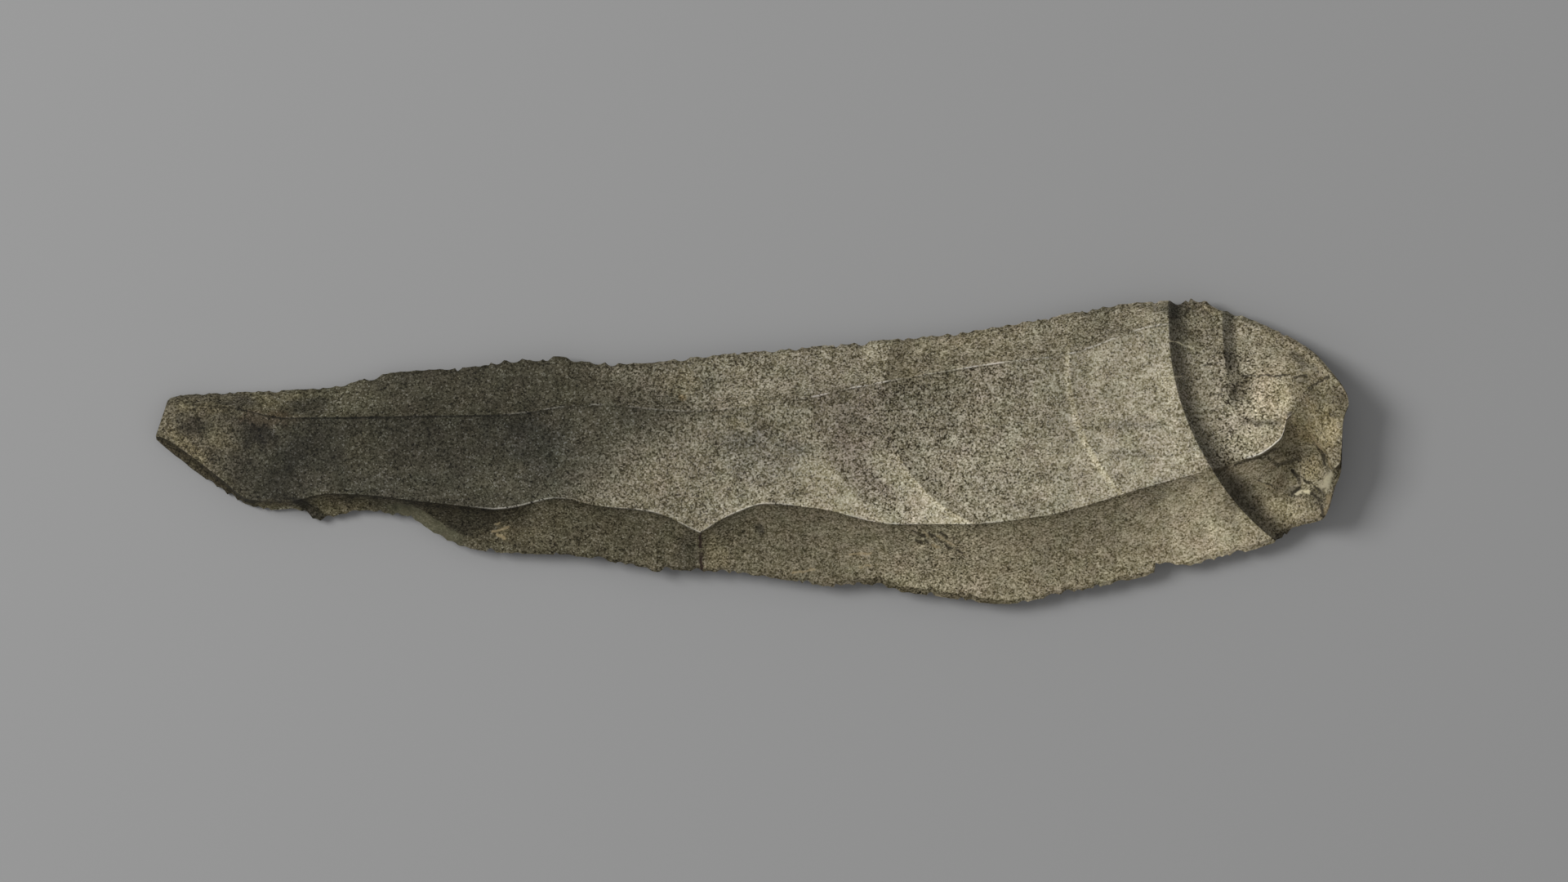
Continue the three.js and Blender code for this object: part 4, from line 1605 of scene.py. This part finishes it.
class StoneShop:
    """Makes the stone's materials from its finishes, sharing one set of effects."""

    def __init__(self) -> None:
        """Builds each effect once."""
        self.grain = StoneGrain()
        self.crack = CrackLine()
        self.band = ArcBand()

    def banded(
        self, board: Board, finish: FlintFinish, place: object, colour: object
    ) -> bpy.types.NodeSocket:
        """Lays the finish's bands over a colour.

        Args:
            board: The material's board.
            finish: Which bands to lay.
            place: Coordinates in millimetres.
            colour: Colour to lay them on.

        Returns:
            The banded colour's socket.
        """
        for band in finish.bands:
            ripple = band.ripple
            node = self.band.place(
                board, Place=place, Centre=(ripple.x, ripple.y, 0.0), Radius=ripple.radius,
                Start=band.span[0], End=band.span[1], Start_soft=band.soft[0], End_soft=band.soft[1],
                Low=band.reach[0], High=band.reach[1], Low_fade=band.fade[0], High_fade=band.fade[1])
            share = board.math("MULTIPLY", node.outputs[0], band.strength)
            colour = board.mix(share, colour, band.tint, "MULTIPLY")
        return colour

    def marked(
        self, board: Board, finish: FlintFinish, place: object, colour: object
    ) -> bpy.types.NodeSocket:
        """Lays the spots and the finish's hairlines over a colour, the lines bent and broken.

        Args:
            board: The material's board.
            finish: Which hairlines to lay.
            place: Coordinates in millimetres.
            colour: Colour to lay them on.

        Returns:
            The marked colour's socket.
        """
        warp = board.noise(place, finish.warp_scale)
        swing = board.vector("SUBTRACT", warp["Color"], (0.5, 0.5, 0.5)).outputs[0]
        shift = board.vector("SCALE", swing)
        shift.inputs["Scale"].default_value = finish.warp_reach
        bent = board.vector("ADD", place, shift.outputs[0]).outputs[0]
        # Spots: stains and tints, with some painted shade at the butt.
        spot_tints = board.add("ShaderNodeAttribute", attribute_name=STAIN_AND_SHADE).outputs["Color"]
        colour = board.mix(1.0, colour, spot_tints, "MULTIPLY")
        gaps = board.ease(warp["Fac"], *finish.gap_climb)
        for line in finish.hairlines:
            share = 0.0
            for start, end in zip(line.path, line.path[1:]):
                node = self.crack.place(
                    board, Place=bent, Start=(*start, 0.0), End=(*end, 0.0), Width=line.width)
                share = board.math("MAXIMUM", node.outputs[0], share)
            share = board.math("MULTIPLY", share, line.strength)
            colour = board.mix(board.math("MULTIPLY", share, gaps), colour, line.tone)
        return colour

    def patina_share(
        self, board: Board, finish: FlintFinish, patina: object, grain: object
    ) -> bpy.types.NodeSocket:
        """How much of the stone is dark: partly even, partly ragged along its grain and mottling.

        Args:
            board: The material's board.
            finish: How ragged the patina is.
            patina: The patina's mask.
            grain: Outputs of the grain.

        Returns:
            The share's socket.
        """
        edge = board.math("SUBTRACT", patina, finish.ragged_mottle / 2)
        ragged = board.math("MULTIPLY_ADD", grain["Mottle"], finish.ragged_mottle, edge)
        swing = board.math("SUBTRACT", grain["Grain"], 0.5)
        ragged = board.math("MULTIPLY_ADD", swing, finish.ragged_grain, ragged)
        smooth = board.math("MULTIPLY", patina, finish.smooth_share)
        eased = board.ease(ragged, *finish.ragged_climb)
        share = board.math("MULTIPLY_ADD", eased, finish.ragged_share, smooth)
        left = board.math("POWER", board.math("SUBTRACT", 1.0, share), finish.patina_power)
        return board.math("SUBTRACT", 1.0, left)

    def weathered_with_painted_light(
        self, board: Board, finish: FlintFinish, zone: dict[Zone, object], grain: object
    ) -> bpy.types.NodeSocket:
        """Colour of the grains under patina, warmth and moss, with painted shade (partly dirt and stain) and
        painted highlights.

        Args:
            board: The material's board.
            finish: The stone's tones.
            zone: Masks that the mesh carries.
            grain: Outputs of the grain.

        Returns:
            The colour's socket.
        """
        off = board.math("SUBTRACT", finish.mean_grain, grain["Grain"])
        evened = board.math("MULTIPLY_ADD", off, zone[Zone.EVEN], grain["Grain"])
        light = board.mix(evened, finish.speck, finish.light)
        light = board.mix(board.math("MULTIPLY", grain["Pepper"], finish.pepper_share), light, finish.pepper)
        salted = board.math("MULTIPLY", grain["Salt"], finish.salt_share)
        dark = board.mix(salted, board.mix(grain["Grain"], finish.dark, finish.dull), finish.salt)
        colour = board.mix(self.patina_share(board, finish, zone[Zone.PATINA], grain), light, dark)
        hue = board.mix(board.ease(grain["Grain"], *finish.hue_climb), finish.brown, finish.grey)
        colour = board.mix(1.0, colour, hue, "MULTIPLY")
        colour = board.mix(zone[Zone.WARMTH], colour, finish.warm, "MULTIPLY")
        colour = board.mix(board.math("MULTIPLY", zone[Zone.MOSS], finish.moss_share), colour, finish.moss)
        # Painted shade, partly dirt and stain, then painted highlight.
        colour = board.mix(zone[Zone.GRIME], colour, finish.shade_and_dirt_tone, "MULTIPLY")
        return board.mix(zone[Zone.BLEACH], colour, finish.pale, "MULTIPLY")

    def shaded(
        self, board: Board, finish: FlintFinish, shade: object, grain: object, colour: object
    ) -> bpy.types.NodeSocket:
        """Lays the strip's brightness, the mottling and the drift of hue over a colour.

        Args:
            board: The material's board.
            finish: How far mottling and hue swing.
            shade: The brightness's mask.
            grain: Outputs of the grain.
            colour: Colour to lay them on.

        Returns:
            The shaded colour's socket.
        """
        swing = finish.mottle_swing
        mottle = board.math("MULTIPLY_ADD", grain["Mottle"], swing, 1.0 - swing / 2)
        swing = finish.broad_swing
        broad = board.math("MULTIPLY_ADD", grain["Broad"], swing, 1.0 - swing / 2)
        swing = finish.hue_swing
        tint = board.vector("MULTIPLY_ADD", grain["Tint"], (swing,) * 3, (1.0 - swing / 2,) * 3)
        tinted = board.vector("MULTIPLY", colour, tint.outputs[0]).outputs[0]
        result = board.vector("SCALE", tinted)
        share = board.math("MULTIPLY", shade, board.math("MULTIPLY", mottle, broad))
        board.feed(result.inputs["Scale"], share)
        return result.outputs[0]

    def material(self, finish: FlintFinish) -> bpy.types.Material:
        """One stone material.

        Args:
            finish: Its tones, grain and marks.

        Returns:
            The material, with its colour, roughness and bump from nodes.
        """
        material = bpy.data.materials.new(finish.name)
        material.use_nodes = True
        board = Board(material.node_tree)
        shader = material.node_tree.nodes["Principled BSDF"]
        metres = board.add("ShaderNodeTexCoord").outputs["Object"]
        scaled = board.vector("SCALE", metres)
        scaled.inputs["Scale"].default_value = 1.0 / MM
        place = scaled.outputs[0]
        zone = {z: board.add("ShaderNodeAttribute", attribute_name=z.value).outputs["Fac"] for z in Zone}
        fresh = board.math("SUBTRACT", 1.0, zone[Zone.PATINA])
        shift = board.math("MULTIPLY", board.math("SUBTRACT", zone[Zone.SHADE], 1.0), fresh)
        grain = self.grain.place(
            board, Place=place, Grains_per_mm=finish.grains_per_mm, Clusters=finish.clusters,
            Shift=board.math("MULTIPLY", shift, finish.density)).outputs
        colour = self.weathered_with_painted_light(board, finish, zone, grain)
        colour = self.banded(board, finish, place, colour)
        colour = self.marked(board, finish, place, colour)
        # Worn ridge lines; at the butt's lip they also paint a highlight.
        bare = board.ease(grain["Grain"], *finish.worn_climb)
        colour = board.mix(board.math("MULTIPLY", zone[Zone.ARRIS], bare), colour, finish.worn)
        colour = self.shaded(board, finish, zone[Zone.SHADE], grain, colour)
        board.feed(shader.inputs["Base Color"], colour)
        low, high = finish.roughness
        board.feed(shader.inputs["Roughness"], board.math("MULTIPLY_ADD", grain["Mottle"], high - low, low))
        shader.inputs["Specular IOR Level"].default_value = finish.specular
        bump = board.add("ShaderNodeBump")
        bump.inputs["Strength"].default_value = finish.bump
        bump.inputs["Distance"].default_value = finish.bump_depth * MM
        board.feed(bump.inputs["Height"], board.math("ADD", grain["Grain"], grain["Mottle"]))
        board.feed(shader.inputs["Normal"], bump.outputs[0])
        return material


# The mesh

@dataclass
class BladePiece:
    """Turns the blade's rings into one closed mesh object."""

    blade: FlintBlade
    materials: list[bpy.types.Material]
    map_margin: float = 0.01
    outer_band: Point = (0.01, 0.6)
    inner_band: Point = (0.64, 0.2)
    discs: tuple[Point, Point] = ((0.1, 0.92), (0.3, 0.92))
    disc_radius: float = 0.05

    def placed(self, rings: Rings) -> np.ndarray:
        """The rings in metres, set square over the solid that they stand for.

        Args:
            rings: Points in millimetres.

        Returns:
            Points by station and column, in metres.
        """
        points = np.stack([rings.x, rings.y, rings.z], axis=-1) * MM
        low, high = (np.array(corner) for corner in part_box(NODE))
        middle = (points.min(axis=(0, 1)) + points.max(axis=(0, 1))) / 2
        shift = (low + high) / 2 - middle
        shift[2] = low[2] - points[..., 2].min()
        return points + shift

    def build(self) -> bpy.types.Object:
        """Builds the object with its zones, sharp ridges and map.

        Returns:
            The finished object, linked into the scene.
        """
        rings = self.blade.rings()
        points = self.placed(rings)
        rows, columns = points.shape[:2]
        corners = points.reshape(-1, 3)
        caps = np.array([points[0].mean(axis=0), points[-1].mean(axis=0)])
        first, last = len(corners), len(corners) + 1
        grid = np.arange(rows * columns).reshape(rows, columns)
        ahead = np.roll(grid, -1, axis=1)
        sides = np.stack([grid[:-1], ahead[:-1], ahead[1:], grid[1:]], axis=-1).reshape(-1, 4)
        tip_fan = [(first, b, a) for a, b in zip(grid[0], ahead[0])]
        butt_fan = [(last, a, b) for a, b in zip(grid[-1], ahead[-1])]
        mesh = bpy.data.meshes.new("flint")
        faces = sides.tolist() + [[int(i) for i in fan] for fan in tip_fan + butt_fan]
        mesh.from_pydata(np.vstack([corners, caps]).tolist(), [], faces)
        for material in self.materials:
            mesh.materials.append(material)
        ends = np.repeat([Patch.PLAIN.value, Patch.BUTT.value], columns)
        slots = np.append(self.patches(rings).ravel(), ends)
        mesh.polygons.foreach_set("material_index", slots.astype(np.int32))
        mesh.polygons.foreach_set("use_smooth", np.ones(len(faces), dtype=bool))
        self.mark_sharp(mesh, rings, columns)
        self.lay_map(mesh, rings, rows, columns)
        for zone, values in WeatheringAndPaintedLight(self.blade).zones(rings).items():
            layer = mesh.attributes.new(zone.value, "FLOAT", "POINT")
            layer.data.foreach_set("value", np.append(values.ravel(), [0.0, 0.0]).astype(np.float32))
        layer = mesh.attributes.new(STAIN_AND_SHADE, "FLOAT_COLOR", "POINT")
        tints = np.vstack([StainsAndShade().tint(rings).reshape(-1, 4), np.ones((2, 4))])
        layer.data.foreach_set("color", tints.astype(np.float32).ravel())
        mesh.validate()
        piece = bpy.data.objects.new("flint", mesh)
        bpy.context.collection.objects.link(piece)
        log.info("flint: %d stations, %d points a ring, %d faces", rows, columns, len(faces))
        return piece

    def patches(self, rings: Rings) -> np.ndarray:
        """Which patch each face between two stations is on.

        Args:
            rings: The blade's points.

        Returns:
            Patch numbers by station and column.
        """
        behind, ahead = rings.strip, np.roll(rings.strip, -1)
        inner = (behind == Strip.INNER.value) & (ahead == Strip.INNER.value)
        below = (ahead >= Strip.LOWER.value) & (ahead < Strip.UPPER_RIM.value)
        x = rings.x[:-1]
        patch = np.where(x < MIDDLE_FROM, Patch.PLAIN.value, Patch.MIDDLE.value)
        patch = np.where(below, Patch.BELLY.value, patch)
        patch = np.where(x < BUTT_FROM, patch, Patch.BUTT.value)
        return np.where(inner, Patch.PLAIN.value, patch)

    def mark_sharp(self, mesh: bpy.types.Mesh, rings: Rings, columns: int) -> None:
        """Marks the ridges and edges sharp, so that shading breaks there.

        Args:
            mesh: The mesh to mark.
            rings: Its points.
            columns: Points in a ring.
        """
        ends = np.empty(len(mesh.edges) * 2, dtype=np.int32)
        mesh.edges.foreach_get("vertices", ends)
        column = ends.reshape(-1, 2) % columns
        strip = np.append(rings.strip, rings.strip[:1])
        breaks = np.flatnonzero(np.diff(strip))
        lines = np.concatenate([[0], breaks])
        on_line = np.isin(column[:, 0], lines) & (column[:, 0] == column[:, 1])
        mesh.edges.foreach_set("use_edge_sharp", on_line)

    def lay_map(self, mesh: bpy.types.Mesh, rings: Rings, rows: int, columns: int) -> None:
        """Unrolls the loft: the outer face in one band, the inner in another, the ends as discs.

        Args:
            mesh: The mesh to map.
            rings: Its points.
            rows: Stations.
            columns: Points in a ring.
        """
        along = (rings.x[:, 0] - TIP) / LENGTH * (1.0 - 2 * self.map_margin) + self.map_margin
        inner = np.flatnonzero(rings.strip == Strip.INNER.value)
        start, end = inner[0], inner[-1]
        order = np.arange(columns)
        (outer_from, outer_width), (inner_from, inner_width) = self.outer_band, self.inner_band
        outer_step = outer_width / (columns - (end - start))
        inner_step = inner_width / (end - start)
        outer_v = outer_from + outer_step * ((order - end) % columns)
        inner_v = inner_from + inner_step * (order - start)
        is_inner = (order >= start) & (order < end)
        v0 = np.where(is_inner, inner_v, outer_v)
        v1 = v0 + np.where(is_inner, inner_step, outer_step)
        u0, u1 = np.repeat(along[:-1], columns), np.repeat(along[1:], columns)
        low, high = np.tile(v0, rows - 1), np.tile(v1, rows - 1)
        corners = ((u0, low), (u0, high), (u1, high), (u1, low))
        quads = np.stack([np.stack(corner, -1) for corner in corners], 1)
        turn = 2 * math.pi * np.arange(columns + 1) / columns
        ring = np.stack([np.cos(turn), np.sin(turn)], -1) * self.disc_radius
        fans = []
        for middle, backwards in zip(np.array(self.discs), (True, False)):
            a, b = ring[:-1] + middle, ring[1:] + middle
            rim = (b, a) if backwards else (a, b)
            fans.append(np.stack([np.broadcast_to(middle, a.shape), *rim], 1))
        flat = np.concatenate([quads.reshape(-1, 2)] + [fan.reshape(-1, 2) for fan in fans])
        layer = mesh.uv_layers.new(name="OFBake")
        layer.data.foreach_set("uv", flat.astype(np.float32).ravel())


# The studio

@dataclass(frozen=True)
class Studio:
    """A pale floor, soft light from the upper left, and a camera straight above."""

    floor_tone: Tone = tone(155, 155, 155)
    floor_roughness: float = 0.9
    floor_size: float = 4.0
    floor_gap: float = 0.00005
    sky: float = 0.4
    sky_tone: Tone = (1.0, 1.0, 1.0, 1.0)
    key_place: tuple[float, float, float] = (-0.8, 0.3, 0.8)
    key_size: float = 0.5
    key_power: float = 9.5
    camera_height: float = 1.5
    camera_centre: Point = (0.00466, 0.00146)
    frame_width: float = 0.2236
    frame_level: float = 0.004
    sensor: float = 36.0

    def lay_floor(self) -> None:
        """Lays the floor just under the stone."""
        half = self.floor_size / 2
        mesh = bpy.data.meshes.new("floor")
        corners = [(-half, -half, 0), (half, -half, 0), (half, half, 0), (-half, half, 0)]
        mesh.from_pydata(corners, [], [(0, 1, 2, 3)])
        floor = bpy.data.objects.new("floor", mesh)
        floor.location.z = -self.floor_gap
        material = bpy.data.materials.new("floor")
        material.use_nodes = True
        shader = material.node_tree.nodes["Principled BSDF"]
        shader.inputs["Base Color"].default_value = self.floor_tone
        shader.inputs["Roughness"].default_value = self.floor_roughness
        mesh.materials.append(material)
        bpy.context.collection.objects.link(floor)

    def set_light(self) -> None:
        """Sets the even sky and the soft key light."""
        world = bpy.data.worlds.new("studio")
        world.use_nodes = True
        sky = world.node_tree.nodes["Background"]
        sky.inputs["Strength"].default_value = self.sky
        sky.inputs["Color"].default_value = self.sky_tone
        bpy.context.scene.world = world
        lamp = bpy.data.lights.new("key", "AREA")
        lamp.energy = self.key_power
        lamp.size = self.key_size
        key = bpy.data.objects.new("key", lamp)
        key.location = self.key_place
        key.rotation_euler = (-Vector(self.key_place)).to_track_quat("-Z", "Y").to_euler()
        key.visible_camera = False
        bpy.context.collection.objects.link(key)

    def set_camera(self) -> None:
        """Hangs a long-lens camera over the blade."""
        data = bpy.data.cameras.new("camera")
        data.sensor_width = self.sensor
        data.lens = self.sensor * (self.camera_height - self.frame_level) / self.frame_width
        camera = bpy.data.objects.new("camera", data)
        camera.location = (*self.camera_centre, self.camera_height)
        bpy.context.collection.objects.link(camera)
        bpy.context.scene.camera = camera
        bpy.context.scene.view_settings.view_transform = "Standard"


def main() -> None:
    """Builds the stone and sets the studio."""
    logging.basicConfig(level=logging.INFO, format="%(message)s")
    shop = StoneShop()
    finishes = {
        Patch.PLAIN: FlintFinish("flint_plain"),
        Patch.MIDDLE: FlintFinish("flint_middle", bands=MIDDLE_BANDS),
        Patch.BELLY: FlintFinish("flint_belly", hairlines=BELLY_LINES),
        Patch.BUTT: FlintFinish("flint_butt", hairlines=BUTT_LINES, bands=BUTT_BANDS),
    }
    materials = [shop.material(finishes[patch]) for patch in Patch]
    piece = BladePiece(FlintBlade(), materials).build()
    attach(piece, "root")
    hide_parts(NODE)
    studio = Studio()
    studio.lay_floor()
    studio.set_light()
    studio.set_camera()


if __name__ == "__main__":
    main()
